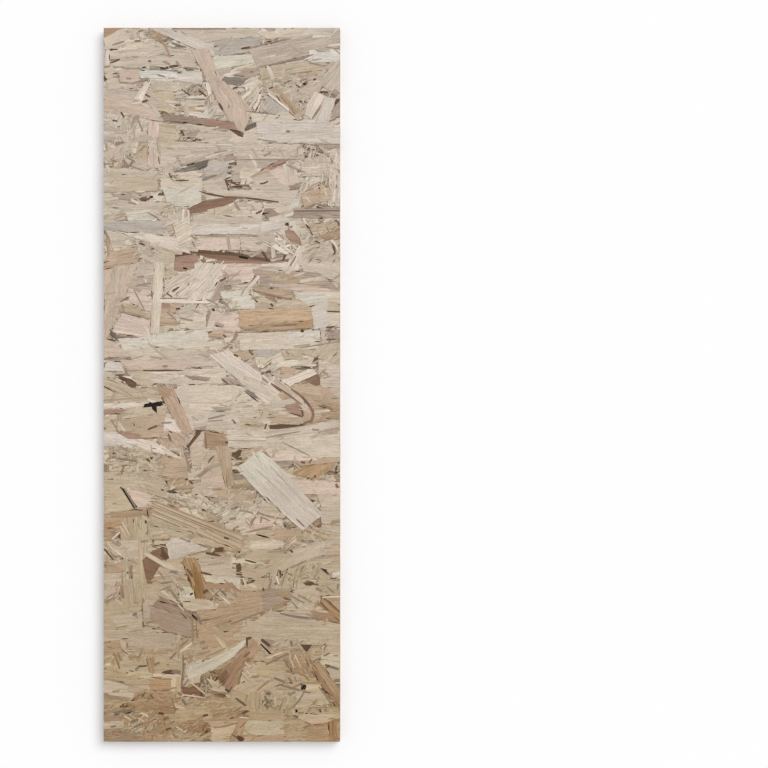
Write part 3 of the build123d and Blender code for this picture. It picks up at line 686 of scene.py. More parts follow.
    (228,591, 291,590, 291,601, 205,627, TAN, 1, 6), (262,588, 291,590, 291,602, 262,612, TAUPE, 0.7, 6),
    (205,612, 262,600, 264,611, 205,629, HONEY, 0.5, 7),
    Strand((278, 594), (291, 597), 6, OCHRE, 0.03, (0.3, 0.1), (0, 0), 0.6),
    (220,592, 240,594, 236,604, 218,604, STRAW, 1, 4), (288,592, 318,598, 312,612, 286,610, BEIGE, 3, 3),
    (326,596, 341,596, 341,613, 327,600, STRAW, 2, 3), (324,597.5, 341,612, 341,622, 318,604, CARAMEL, 1, 8),
    (310,611, 341,615, 341,623, 316,620, BROWN, 1.5, 5), (200,619, 341,622, 341,641, 200,645, BEIGE, 5, 4),
    (268,611, 341,610, 341,632, 246,628, BEIGE, 4, 3), (149,551, 172,547, 172,562, 150,560, RUST, 14, 3),
    (162,548, 171,560, 168,562, 160,556, BARK, 13.5, 3), (142,555, 162,566, 152,584, 144,583, RUST, 14, 2),
    (299,579, 318,579, 317,588, 300,588, RUST, 14, 4), (304,584, 316,580, 316,584, 309,588, BARK, 13.5, 2),
    (235,563, 244,563, 244,578, 235,578, BARK, 14, 2), (254,532, 274,535, 273,540, 256,538, VOID, 14, 0),
    (215,546, 223,546, 223,552, 215,552, BARK, 14, 0), (270,606, 290,597, 292,603, 273,612, OCHRE, 14, 3),
    (SLATE, 0, (229.5,519.5, 236,518, 2.4), (231,509, 237,508, 1.9), (252,523, 259,511, 1.4),
        (296,518.5, 304.5,527, 1.6, 6, 3), (301,541, 317,541.8, 2), (338.5,584, 337.5,589, 1.7),
        (221,590.5, 226.5,596, 2.2), (280,613.3, 321,618.5, 2.4, 6, 4, -1.6)),
    (UMBER, 0, (240,511, 253,513.5, 1.6, 6, 3, 0.8), (233,529, 239,526.5, 2), (250.5,523.5, 254,518.5, 2.2),
        (258,512.5, 283,518.5, 1.8, 4, 3, -1.2), (262,516, 260.5,523, 1.4), (274,522, 277,525, 1.8),
        (264,518, 270,521, 1.4), (246,532.5, 273,526.5, 2, 6, 5), (281,551.5, 292,549.8, 1.7),
        (280,547, 281,551, 1.5), (283,541, 289,542.5, 2.2), (304,541, 309,541.6, 2.6, 5, 5),
        (291,568, 306,560.5, 1.9, 3, 5), (254.5,568, 258,566.5, 2.2), (232,567.5, 235,568, 2.2),
        (235,557, 241,558, 1.7), (286,572, 282,585, 1.3), (288,573.5, 294,576, 1.6),
        (320,568, 328.5,574.5, 2, 7, 2), (333,579.5, 341,579.6, 1.6), (327,587, 334,593, 1.6),
        (231,624, 264,611, 1.7, 4, 6), (233,593, 237,598, 2), (291,596, 304,603, 1.5),
        (292,602, 298,608.5, 1.5), (306,614, 321,618.5, 1.7)),
    (TAUPE, 0, (242,536.5, 248,536, 1.7), (314,558.5, 341,555, 2.4, 4, 4), (222,603, 228,606, 1.6),
        (308,620, 312,617.5, 2)),
    (OCHRE, 0, (268,552, 282,551.4, 1.5), (304,530, 326,540, 1.5), (310,528, 330,536, 1.4),
        (322,524, 341,525.5, 1.3), (232,551, 241,549.5, 3, 5, 2), (298,595, 312,602, 1.7),
        (329,599, 341,600, 2.6)),
    (BARK, 0, (290,550, 293,552.5, 2), (245,560, 256.5,563, 1.8, 3, 6), (280,570.5, 280.4,578, 2, 2, 4),
        (322,569.5, 327,570.5, 1.7), (241.5,580.5, 243.5,585, 2.6, 3, 3), (246.5,583, 255,580.5, 2.8, 2, 6),
        (263,588, 263.6,591, 1.8)),
    (RUST, 0, (318,526.5, 322,523, 2.6, 3, 4), (274.5,583, 277,584.5, 2), (323,597.5, 341,613, 2, 2, 2),
        (320,602, 328.5,610.5, 2, 3, 4)),
    (SEPIA, 0, (314,525, 318,522, 1.6), (316,588, 322,591.5, 2.4), (272,579, 268,591, 1.8),
        (263.5,577.5, 270,576.5, 1.8)),
    (SMOKE, 0, (320,548, 325,551, 2.2)), (BROWN, 0, (264,562.5, 269.5,561, 2.8)),
    (IVORY, 0, (243,578, 246,588, 1.8), (276,576, 279,584, 1.7), (222,597, 230,604, 1.5),
        (322,597.6, 341,596.6, 1.6)),
    # Red-brown strand, the dark windows and the lower corners
    (103,630, 182,628, 180,652, 103,652, BEIGE, 5, 3), (124,634, 176,632, 176,650, 126,650, MAUVE, 3.5, 2),
    (103,642, 120,640, 120,656, 103,656, TAN, 3, 4), (140,650, 180,651, 178,660, 140,660, TAN, 4, 5),
    (180,638, 250,636, 250,652, 184,664, STRAW, 4, 5), (198,634, 232,632, 236,646, 200,648, HONEY, 3, 3),
    (176,640, 192,638, 196,662, 178,664, HONEY, 3, 4), (103,653, 118,653, 122,672, 103,672, OLIVE, 3.5, 4),
    (112,650, 156,656, 156,674, 118,672, BEIGE, 4, 3), (150,654, 184,654, 182,674, 152,676, STRAW, 3.5, 3),
    (147,658, 149,673, 155,673, 154,658, OCHRE, 2, 5), (103,671, 182,672, 180,682, 103,680, BUFF, 4, 4),
    (103,672, 140,674, 140,684, 103,680, OLIVE, 3, 4), (IVORY, 0.5, (153,675.6, 180,676, 4.0, 3, 4)),
    (SLATE, 0, (169,671.5, 181,672.5, 3.6, 3, 4)), (103,680, 134,680, 134,700, 103,696, ASH, 3.5, 2),
    (128,679, 156,679, 156,692, 128,692, BEIGE, 3, 4), (149,680, 171,680, 171,691, 150,690, ORANGE, 2, 5),
    (170,676, 170,692, 180,692, 180,676, BUFF, 3, 3), (185,654, 181,690, 176,690, 179,654, OLIVE, 1.5, 4),
    (103,694, 130,698, 132,714, 103,716, TAUPE, 3.5, 3), (128,688, 176,690, 174,706, 128,706, TAN, 4, 4),
    (124,703, 152,702, 160,714, 122,716, OCHRE, 3, 4), (RUST, 0, (132,700, 144,695, 3.2, 6, 3)),
    (SLATE, 0, (114,713.5, 132,710.5, 3.6, 4, 6)), (103,713, 122,713, 122,721, 103,721, TAUPE, 2, 4),
    (103,719.5, 124,719.5, 124,730, 103,731, ASH, 3, 1), (122,713, 150,714, 148,730, 122,731, OCHRE, 3.5, 3),
    (148,706, 160,706, 166,742, 146,742, TAN, 4, 4), (103,729, 146,729, 146,742, 103,742, TAUPE, 3, 4),
    (150,733, 200,731, 200,743, 150,743, BEIGE, 6, 3), (158,698, 178,700, 175,714, 160,714, BROWN, 2.5, 3),
    (172,699, 250,700, 250,722, 170,726, HONEY, 5, 4), (168,712, 214,704, 214,722, 170,728, STRAW, 4, 3),
    (200,696, 250,700, 248,716, 204,712, HONEY, 3.5, 4), (172,704, 176,703, 189,710, 178,710, CREAM, 0.5, 2),
    (188,720, 204,720, 202,732, 188,732, BROWN, 2, 5), (206,720, 240,720, 238,728, 212,728, ROSE, 2, 3),
    (210,727, 240,724, 236,742, 212,742, CREAM, 2, 1.5),
    (BROWN, 0, (107.5,647, 112,647.6, 1.5), (155,678.2, 161,678, 2), (142,703, 159,710.5, 1.5, 3, 4, -1.4),
        (201,735.5, 209.5,723.5, 1.7)),
    (UMBER, 0, (127,643, 127.6,648.5, 1.5), (178,649, 188,640, 2.2), (170,659, 178,651, 2),
        (200,643, 205,641.5, 2.4, 4, 4), (202,649, 208,647.5, 1.8), (113,652, 119.5,669, 1.8, 5, 3, 0.8),
        (135.5,670.5, 140.5,665.5, 2.8, 2, 3), (154.5,665, 159.5,662.5, 2.4, 2, 3), (166.5,665, 169,665, 1.8),
        (158,679, 172,679.3, 1.3), (145,728, 150,722, 2), (157,725, 161,723, 2.4),
        (172,699, 175.5,711.5, 1.6), (194,699.5, 210,697.5, 1.8, 5, 5), (184,734, 188,732, 2),
        (203,739, 210,739.6, 2), (214,728, 238,722.5, 1.5, 3, 5, -0.8)),
    (OCHRE, 0, (144,653, 168,653.4, 2), (190,657, 210,651, 1.8), (206,657, 226,648, 1.4),
        (128,657, 141,657.2, 1.9, 4, 5), (150,719, 159,708.5, 1.6), (147,720, 156,710.5, 1.5),
        (161,720, 166,734, 2.4, 3, 3), (197,719, 204,716.5, 1.5), (210,712, 236,708, 1.4),
        (212,718, 232,711, 1.4)),
    (IVORY, 0, (180,652, 192,643, 2.2), (124,716, 134,722, 1.6), (138,718, 144,722, 1.6),
        (176,727, 186,732.5, 2)),
    (BUFF, 0, (105,665, 111,664, 3, 3, 3)),
    (BARK, 0, (139,666.6, 147,665.8, 1.5), (162,672.8, 172,671.2, 2.8, 7, 3), (138,697.4, 143,695.6, 2.2),
        (121,706.6, 125,705.4, 1.9), (158.5,713, 164,714, 2.4, 2, 4), (203,716, 208,715, 2),
        (205.5,732.5, 208,731.5, 2)),
    (TAUPE, 0, (104,678.5, 128.5,685, 1.7, 5, 2), (103,693.5, 131,702, 1.4, 3, 3, -1)),
    (TAN, 0, (130,685, 156,684.5, 1.3), (103,741.4, 148,741.2, 1.4)),
    (SLATE, 0, (183,655, 181,688, 1.5, 2, 2, 1), (110.5,727, 116,726.4, 1.7), (131,722, 138,720, 2.6),
        (134,727, 143,724, 2), (182,699, 186,705, 2.6)),
    (RUST, 0, (120,707, 128,704, 2.8, 3, 5)), (TAN, 0.5, (206,720.5, 250,719.5, 1.7)),
    # Right half below the horizontal strand
    (250,636, 341,636, 341,650, 250,650, BEIGE, 5, 4), (250,646, 341,644, 341,668, 250,668, HONEY, 8, 3),
    (308,645, 341,646, 341,664, 312,662, BEIGE, 4, 3), (262,639, 272,640, 272,650, 268,650, TAUPE, 1, 5),
    (254,650, 272,654, 272,662, 254,662, STRAW, 3, 3), (278,657, 306,650, 312,682, 282,684, SIENNA, 4, 5),
    (270,670, 308,674, 308,684, 270,682, BEIGE, 3, 5), (311,664, 326,660, 332,668, 314,668, BUFF, 2, 2),
    (318,667, 341,664, 341,684, 320,682, ASH, 4, 3), (320,656, 341,656, 341,668, 322,666, SAGE, 3.5, 2),
    (256,660, 284,662, 286,682, 254,680, OLIVE, 4, 2), (242,666, 258,664, 256,682, 240,682, CREAM, 3, 5),
    (228,688, 264,676, 284,682, 262,700, BEIGE, 2, 1.5), (262,680, 300,680, 302,700, 262,700, BEIGE, 4, 2),
    (230,690, 262,694, 262,712, 232,710, STRAW, 3.5, 2), (TAUPE, 0, (264,691.5, 271,692.5, 3.4, 4, 4)),
    (250,692, 250,709, 259,709, 259,692, STRAW, 1.5, 3), (272,694, 296,694, 296,712, 274,714, STRAW, 3.5, 4),
    (296,692, 322,690, 330,704, 296,710, ASH, 2.5, 3), (306,684, 320,682, 322,692, 306,693, CREAM, 1.5, 2),
    (320,662, 341,696, 334,704, 310,663, CARAMEL, 1, 7), (322,670, 341,706, 341,713, 312,672, BROWN, 0.7, 7),
    (321,663, 341,692, 341,706, 313,664, HONEY, 0.4, 7), (296,706, 341,707, 341,716, 296,716, OLIVE, 3, 3),
    (248,706, 296,710, 290,724, 246,722, STRAW, 4.5, 3), (296,714, 341,714, 341,719, 300,719, SAGE, 2.5, 4),
    (280,720, 318,721, 318,742, 282,742, STRAW, 4, 4), (308,727, 341,718, 341,743, 308,743, HONEY, 2, 5),
    (303,722, 316,728, 332,722, 318,723, BROWN, 1, 5), (297,717.5, 341,717, 332,721, 304,721, PALE, 0.5, 1),
    (303,720, 334,719.5, 320,725, 312,724.5, BLUSH, 0.4, 1),
    (336,718, 338,742, 330,742, 328,719, CARAMEL, 0.5, 6), (242,720, 284,721, 284,738, 242,738, SAGE, 2.5, 1),
    (242,737, 284,734, 284,743, 242,743, ROSE, 2, 3), (247,720, 238,743, 229,742, 238,720, TAN, 1, 5),
    (BARK, 0, (237,737, 244,740, 4.0, 2, 3)), (183,685, 186,664, 202,659, 200,682, ASH, 1.5, 1.5),
    (186,667, 246,639, 248,646, 188,680, FROST, 1.2, 1, -3.0),
    (206,678, 228,686, 226,694, 210,690, CREAM, 1, 3), (262,648, 240,668, 234,656, 252,637, SIENNA, 0.8, 6),
    (250,660, 226,690, 216,677, 246,650, BROWN, 0.6, 7), (218,677, 228,667, 238,680, 228,691, SEPIA, 0.4, 6),
    (216,678, 226,669, 229,677, 225,684, RUST, 0.2, 5), (242,676, 234,688, 228,691, 236,674, OCHRE, 0, 4),
    (181,688, 191,684, 206,698, 182,696, RUST, 14, 3), (199,690, 204,690, 207,698, 201,698, BARK, 13.5, 2),
    (300,643, 310,643, 309,655, 302,653, BARK, 14, 2), (257,642, 264,641, 274,656, 268,658, VOID, 14, 0),
    (299,682, 308,682, 306,693, 299,693, VOID, 14, 0),
    (BARK, 0, (261.5,639.5, 270,646.5, 3, 3, 2), (279,684.3, 287,686.8, 1.8), (319.5,709.5, 321,712.5, 1.9),
        (225,689.5, 230,691.5, 2.2), (247,638, 247,648, 2, 1, 5), (246,639, 251,638, 2.6)),
    (TAUPE, 0, (272,641, 278,646, 2.2), (298,641, 294,649, 1.6), (306,647, 314,646.5, 3, 2, 6),
        (259.5,693, 259.5,709, 1.5)),
    (UMBER, 0, (291,641, 292,646.5, 2.4, 2, 4), (266,664.5, 298,649, 2, 2, 4), (284,659, 289,668, 2),
        (287,659, 291.5,666, 1.6), (284,671, 300,672.6, 1.6, 5, 5, -1), (312,646, 328,645.4, 1.5, 1, 7),
        (311,663, 321,657.5, 1.8), (243,670, 238,681, 2.2), (279,684.5, 300,690.5, 2, 3, 4),
        (293,688, 301,683.5, 1.8), (288,695, 295.5,692.2, 2.8, 4, 3), (293,707, 304,692, 1.7, 3, 4, -1),
        (303,692, 311,692.8, 1.7), (319,687, 329,700, 1.6), (298,713.4, 304,712.6, 1.8),
        (325,710, 326.5,712, 1.7), (238,714, 249,716.5, 2.2, 6, 2), (286,714.5, 290,717.5, 2.2),
        (334,720.6, 341,720, 1.7), (203,678.5, 213,673.5, 2.2), (182,687, 189,679.5, 1.7),
        (206,692, 229,693.5, 2, 2, 5), (247,646, 236.5,654, 1.7)),
    (CREAM, 0, (266,658, 296,647.5, 2), (192,683.5, 207,695.5, 2, 2, 2)),
    (OCHRE, 0, (282,651.5, 296,648, 1.3), (292,656, 297.5,668, 1.8), (297,655, 302,664, 1.7),
        (312,707.5, 341,708, 1.3), (332,728, 334,742, 1.7)),
    (BUFF, 0, (289,656, 294,668, 1.6), (295,655, 301,668, 1.5), (244,679, 240,684, 1.5)),
    (SLATE, 0, (324,656, 330,652.8, 1.8), (325,665, 339,669.5, 2.6, 2, 5), (334,681, 341,680, 3),
        (265,696, 267,702, 2.4, 4, 3), (268,701, 272,704, 1.9), (265,704, 268,709, 1.8),
        (274,678, 284,682, 2.2), (201,679, 207.5,689, 1.7), (205,678, 212,688, 1.7)),
    (IRON, 0, (325,665.2, 330,666.6, 2), (235.5,698, 246,706, 2, 3, 2)),
    (IVORY, 0, (242,672, 249,680, 1.5), (246,670, 254,678, 1.5), (239,717.8, 249,718, 1.5),
        (185,687, 191,681, 1.5), (182,694.8, 206,698, 1.5)),
    (SMOKE, 0, (256,681, 264,680.6, 1.9)), (BROWN, 0, (273,709, 279,705.5, 2.6, 4, 4)),
    (OCHRE, 0.5, (303,683, 322,683.5, 2.2)), (VOID, 0, (296,709.5, 297,712.5, 2.4, 4, 4)),
    (SEPIA, 0, (240,728, 246,722, 1.6), (248,658, 242,664, 2)),
    (RUST, 0, (250,652, 244,657, 2)),
)

PHOTO_PATCHES = [Patch(row[:8], *row[8:]) for row in (
    (126,28, 165,28, 168,44, 128,42, 10, BEIGE, 1.2, 7), (176,84, 205,84, 205,97, 178,97, 30, STRAW),
    (104,110, 130,110, 130,128, 104,128, 60, CREAM), (128,116, 150,116, 148,138, 128,138, 60, BEIGE),
    (240,90, 266,88, 268,110, 242,112, 60, CREAM), (258,78, 300,78, 300,90, 260,90, 10, STRAW),
    (290,74, 315,72, 312,88, 292,90, 20, BEIGE), (292,96, 308,96, 306,112, 294,112, 50, BEIGE),
    (328,118, 341,118, 341,128, 328,128, 0, PALE), (158,164, 182,164, 182,182, 158,182, 0, BEIGE),
    (160,206, 182,206, 182,222, 160,222, 20, CREAM), (236,200, 262,200, 262,212, 236,212, 10, CREAM),
    (296,182, 318,182, 318,200, 296,200, 20, CREAM), (320,150, 341,150, 341,205, 322,205, 85, CREAM),
    (272,231, 300,231, 300,252, 274,252, -40, IVORY, 1.0, 20),
    (300,220, 341,220, 341,262, 302,262, 30, STRAW, 0.7), (130,240, 160,240, 160,262, 132,262, -30, BEIGE),
    (160,284, 192,284, 192,298, 162,298, 40, CREAM), (218,298, 230,298, 230,314, 218,314, 30, BEIGE),
    (282,352, 300,352, 300,358, 282,358, 0, TAN), (318,370, 328,370, 328,378, 318,378, 20, HONEY),
    (326,326, 340,326, 340,340, 326,340, 60, TAUPE), (244,362, 276,362, 276,384, 250,380, 40, BEIGE),
    (110,444, 165,446, 165,480, 110,480, 10, STRAW), (160,434, 190,432, 190,452, 162,452, -40, ROSE),
    (262,408, 272,408, 272,416, 262,416, 0, OLIVE), (240,420, 256,420, 256,430, 240,430, 10, OLIVE),
    (320,468, 338,468, 338,482, 322,482, 0, STRAW), (150,494, 226,494, 226,514, 190,510, -20, BEIGE),
    (104,540, 130,540, 130,562, 104,562, -50, CREAM), (104,584, 120,584, 120,602, 104,602, 60, BEIGE),
    (212,508, 256,508, 256,528, 222,526, 20, SAGE), (254,512, 282,514, 284,528, 250,528, 60, BLUSH),
    (304,526, 326,530, 326,541, 304,541, -30, OLIVE), (282,536, 298,538, 298,550, 284,550, 40, BEIGE),
    (158,568, 184,570, 184,586, 160,586, -30, ROSE), (158,586, 186,586, 184,604, 170,604, -60, BEIGE),
    (206,588, 240,590, 236,604, 206,602, -50, BEIGE), (264,572, 288,570, 286,590, 264,590, 70, BEIGE),
    (290,592, 314,598, 312,608, 290,608, -40, SAGE), (286,570, 318,562, 318,584, 290,584, 60, STRAW),
    (172,640, 196,636, 196,664, 174,664, 50, BEIGE), (270,640, 300,640, 300,660, 258,660, 30, BEIGE),
    (282,656, 308,652, 310,682, 284,684, -60, TAN), (240,664, 258,664, 256,684, 240,684, -45, CREAM),
    (262,692, 296,692, 296,714, 264,710, 60, SAGE), (284,708, 304,708, 300,724, 284,722, 20, BEIGE),
    (122,712, 160,712, 160,732, 122,732, 40, SAGE), (150,718, 200,722, 200,741, 150,741, 30, TAN),
    (180,696, 212,692, 212,704, 180,708, 20, BEIGE), (198,678, 214,676, 214,692, 202,692, -60, CREAM),
    (140,690, 176,688, 174,702, 140,702, 10, TAN), (104,655, 120,655, 120,672, 104,672, 70, OLIVE),
    (300,640, 330,640, 330,662, 306,660, 20, OLIVE), (305,700, 330,700, 330,713, 305,713, 10, BEIGE),
    (205,96, 220,96, 224,118, 206,116, 60, BEIGE, 0.7), (176,126, 206,128, 204,141, 176,140, 20, BEIGE),
    (104,142, 148,132, 148,168, 104,166, 50, BEIGE, 0.6),
    (262,148, 300,146, 300,156, 264,158, 10, BEIGE, 0.7),
    (296,146, 322,148, 322,166, 300,164, 60, CREAM, 0.5),
    (206,298, 240,300, 240,312, 206,312, 40, CREAM, 0.7), (186,452, 214,452, 214,470, 190,470, 40, ROSE, 0.5),
    (150,484, 215,482, 215,496, 152,496, 15, CREAM, 0.8),
    (226,488, 262,488, 262,508, 226,508, 40, BEIGE, 0.8),
    (296,538, 336,536, 336,548, 296,550, 10, BEIGE, 0.8),
    (118,646, 160,648, 160,662, 118,662, 20, OLIVE, 0.6), (104,700, 150,700, 150,716, 104,716, 20, TAN, 0.8),
    (104,730, 150,730, 150,741, 104,741, 10, TAN, 0.6), (200,700, 250,704, 250,724, 200,724, 30, STRAW, 0.6),
    (280,722, 341,724, 341,741, 284,741, 20, STRAW, 0.5),
)]


class StrandTree:
    """The Geometry Nodes tree that turns points with a strand's facts into thin closed plates.

    Its points carry their facts already. The class values are lengths, shares of a length or a width, and how
    far apart the noise of one strand and of the next lie.
    """

    name = "placed_strands"
    shared = {"Ragged": "Float", "Lower Press": "Float", "Upper Press": "Float", "Finish": "Material"}
    inputs = {"Points": "Geometry", **shared}
    tip_power = 2.5
    widest_tear = 11 * MM
    tear_reach = 2.5
    tears_across = 5.0
    side_wave = 9 * MM
    side_ragged = 0.5
    end_seed_step = 91.0
    side_seed_step = 57.0
    grain_seed_step = 400.0

    def __init__(self, along: int, across: int) -> None:
        """Build the whole tree, whose strands have that many points along and across."""
        self.tree = bpy.data.node_groups.new(self.name, "GeometryNodeTree")
        self.along, self.across = along, across
        interface = self.tree.interface
        interface.new_socket(name="Geometry", in_out="OUTPUT", socket_type="NodeSocketGeometry")
        for label, kind in self.inputs.items():
            interface.new_socket(name=label, in_out="INPUT", socket_type=f"NodeSocket{kind}")
        self.given = dict(zip(self.inputs, add_node(self.tree, "NodeGroupInput").outputs))
        real = add_node(self.tree, "GeometryNodeRealizeInstances", {0: self.plates(self.points())})
        inputs = {"Geometry": real, "Material": self.given["Finish"]}
        add_node(self.tree, "NodeGroupOutput", {0: add_node(self.tree, "GeometryNodeSetMaterial", inputs)})

    def points(self) -> Wire:
        """The points that strands are made at."""
        return self.given["Points"]

    def fact(self, name: str) -> Wire:
        """Read what a strand carries under a name."""
        settings = {"data_type": KINDS.get(name, "FLOAT_VECTOR")}
        return add_node(self.tree, "GeometryNodeInputNamedAttribute", {"Name": name}, "Attribute", **settings)

    def parts(self, vector: Wire | str) -> list[Wire]:
        """Split a vector, or what a strand carries under a name, into its three numbers."""
        whole = self.fact(vector) if isinstance(vector, str) else vector
        return add_node(self.tree, "ShaderNodeSeparateXYZ", {0: whole}).outputs

    def joined(self, *values: Any) -> Wire:
        """Join up to three numbers into a vector."""
        return add_node(self.tree, "ShaderNodeCombineXYZ", dict(enumerate(values)))

    def keep(self, geometry: Wire, name: str, *values: Any) -> Wire:
        """Let every point carry one value, or a vector of several, under a name, and return the geometry."""
        value = values[0] if len(values) == 1 else self.joined(*values)
        inputs = {"Geometry": geometry, "Name": name, "Value": value}
        kind = KINDS.get(name, "FLOAT_VECTOR")
        return add_node(self.tree, "GeometryNodeStoreNamedAttribute", inputs, data_type=kind, domain="POINT")

    def between(self, low: Wire, high: Wire, share: Wire) -> Wire:
        """Blend two numbers."""
        return add_node(self.tree, "ShaderNodeMix", {0: share, 2: low, 3: high}, data_type="FLOAT")

    def noise(self, vector: Wire) -> Wire:
        """Smooth noise about zero, roughly from -0.5 to 0.5."""
        inputs = {"Vector": vector, "Scale": 1.0, "Detail": 1.0}
        return add_node(self.tree, "ShaderNodeTexNoise", inputs) - 0.5

    def plates(self, points: Wire) -> Wire:
        """Make a plate at each point and shape it in the strand's own plane.

        Args:
            points: Points that carry a strand's size, widths, slants, tips, turn, tilt and seed.

        Returns:
            The realized plates, in place.
        """
        position = add_node(self.tree, "GeometryNodeInputPosition")
        placed = self.keep(points, PLACE, position)
        counts = {"Size": (1, 1, 1), "Vertices X": self.along, "Vertices Y": self.across, "Vertices Z": 2}
        blank = self.keep(add_node(self.tree, "GeometryNodeMeshCube", counts), UNIT, position)
        inputs = {"Points": placed, "Instance": blank}
        instances = add_node(self.tree, "GeometryNodeInstanceOnPoints", inputs)
        mesh = add_node(self.tree, "GeometryNodeRealizeInstances", {0: instances})

        unit_x, unit_y, unit_z = self.parts(UNIT)
        length, width, thickness = self.parts(SIZE)
        start_width, end_width, belly = self.parts(WIDTHS)
        start_slant, end_slant, bow = self.parts(SLANTS)
        start_tip, end_tip, _ = self.parts(TIPS)
        tilt_x, tilt_y, _ = self.parts(TILT)
        seed, ragged = self.fact(SEED), self.given["Ragged"]
        share = unit_x + 0.5
        twice = unit_x * 2.0
        arch = 1.0 - twice * twice
        near_end = twice.step("MAXIMUM", 0.0) ** self.tip_power
        near_start = (twice * -1.0).step("MAXIMUM", 0.0) ** self.tip_power
        drawn_in = near_start * start_tip + near_end * end_tip
        across = (self.between(start_width, end_width, share) + arch * belly) * (1.0 - drawn_in)
        plain_x = unit_x * length + self.between(start_slant, end_slant, share) * unit_y
        plain_y = unit_y * across

        # The break lines at the ends stray further than the split sides
        end_noise = self.noise(self.joined(unit_y * self.tears_across, seed * self.end_seed_step, near_end))
        torn_width = width.step("MINIMUM", self.widest_tear)
        stray_x = end_noise * (near_start + near_end) * (torn_width * ragged)
        side = self.joined(plain_x / self.side_wave, seed * self.side_seed_step, unit_y.step("SIGN"))
        from_middle = unit_y.step("ABSOLUTE")
        local_x = plain_x + stray_x * self.tear_reach
        grain_y = plain_y + self.noise(side) * (from_middle * (width * (ragged * self.side_ragged)))
        local_y = grain_y + arch * bow
        local_z = unit_z * thickness + tilt_x * local_y + tilt_y * local_x
        spin = {"Vector": self.joined(local_x, local_y, local_z), "Angle": self.fact(TURN)}
        turned = add_node(self.tree, "ShaderNodeVectorRotate", spin, rotation_type="Z_AXIS")
        moved = add_node(self.tree, "ShaderNodeVectorMath", {0: turned, 1: self.fact(PLACE)}, operation="ADD")
        at_x, at_y, at_z = self.parts(moved)
        lifted = at_z.step("MAXIMUM", self.given["Lower Press"])
        pressed = lifted.step("MINIMUM", self.given["Upper Press"])

        # The distance to each side and end, and the grain in millimetres
        to_side, to_end = (0.5 - from_middle) * across, (0.5 - unit_x.step("ABSOLUTE")) * length
        mesh = self.keep(mesh, RIM, to_side, to_end, unit_z)
        mesh = self.keep(mesh, GRAIN, local_x / MM, grain_y / MM, seed * self.grain_seed_step)
        inputs = {"Geometry": mesh, "Position": self.joined(at_x, at_y, pressed)}
        return add_node(self.tree, "GeometryNodeSetPosition", inputs)


@dataclass(frozen=True)
class Bed:
    """A loose bed of strands, strewn over a flat outline. Sizes are in millimetres.

    Attributes:
        per_m2: Strands to the square metre.
        length: Shortest and longest.
        slim: Narrowest and widest, as a share of the length.
        height: Lowest and highest middle of a strand, from the press plane.
        heading: Direction that most of them lie in, in degrees from +X.
        spread: How far most of them turn from it, in degrees.
        thickness: Of one strand.
        shade: Added to the place on the ramp of tones.
        tone: Their usual colour, where it isn't the ramp's.
        clump: How far they gather in clumps, from -1 for not at all to 0 for half of the plot left bare.
    """

    per_m2: float
    length: tuple[float, float]
    slim: tuple[float, float]
    height: tuple[float, float]
    heading: float
    spread: float
    thickness: float
    shade: float = 0.0
    tone: Tone | None = None
    clump: float = -1.0

    def facts(self) -> dict[str, list[float]]:
        """What its outline carries to the strands."""
        tone = (0.0, 0.0, 0.0, 0.0) if self.tone is None else linear(self.tone.value)
        return {
            CROWD: [self.per_m2],
            LENGTHS: [self.length[0] * MM, self.length[1] * MM, self.thickness * MM],
            SLIMS: [*self.slim, self.shade],
            HEIGHTS: [self.height[0] * MM, self.height[1] * MM, tone[3]],
            HEADINGS: [math.radians(self.heading), math.radians(self.spread), self.clump],
            TINTS: list(tone[:3]),
        }


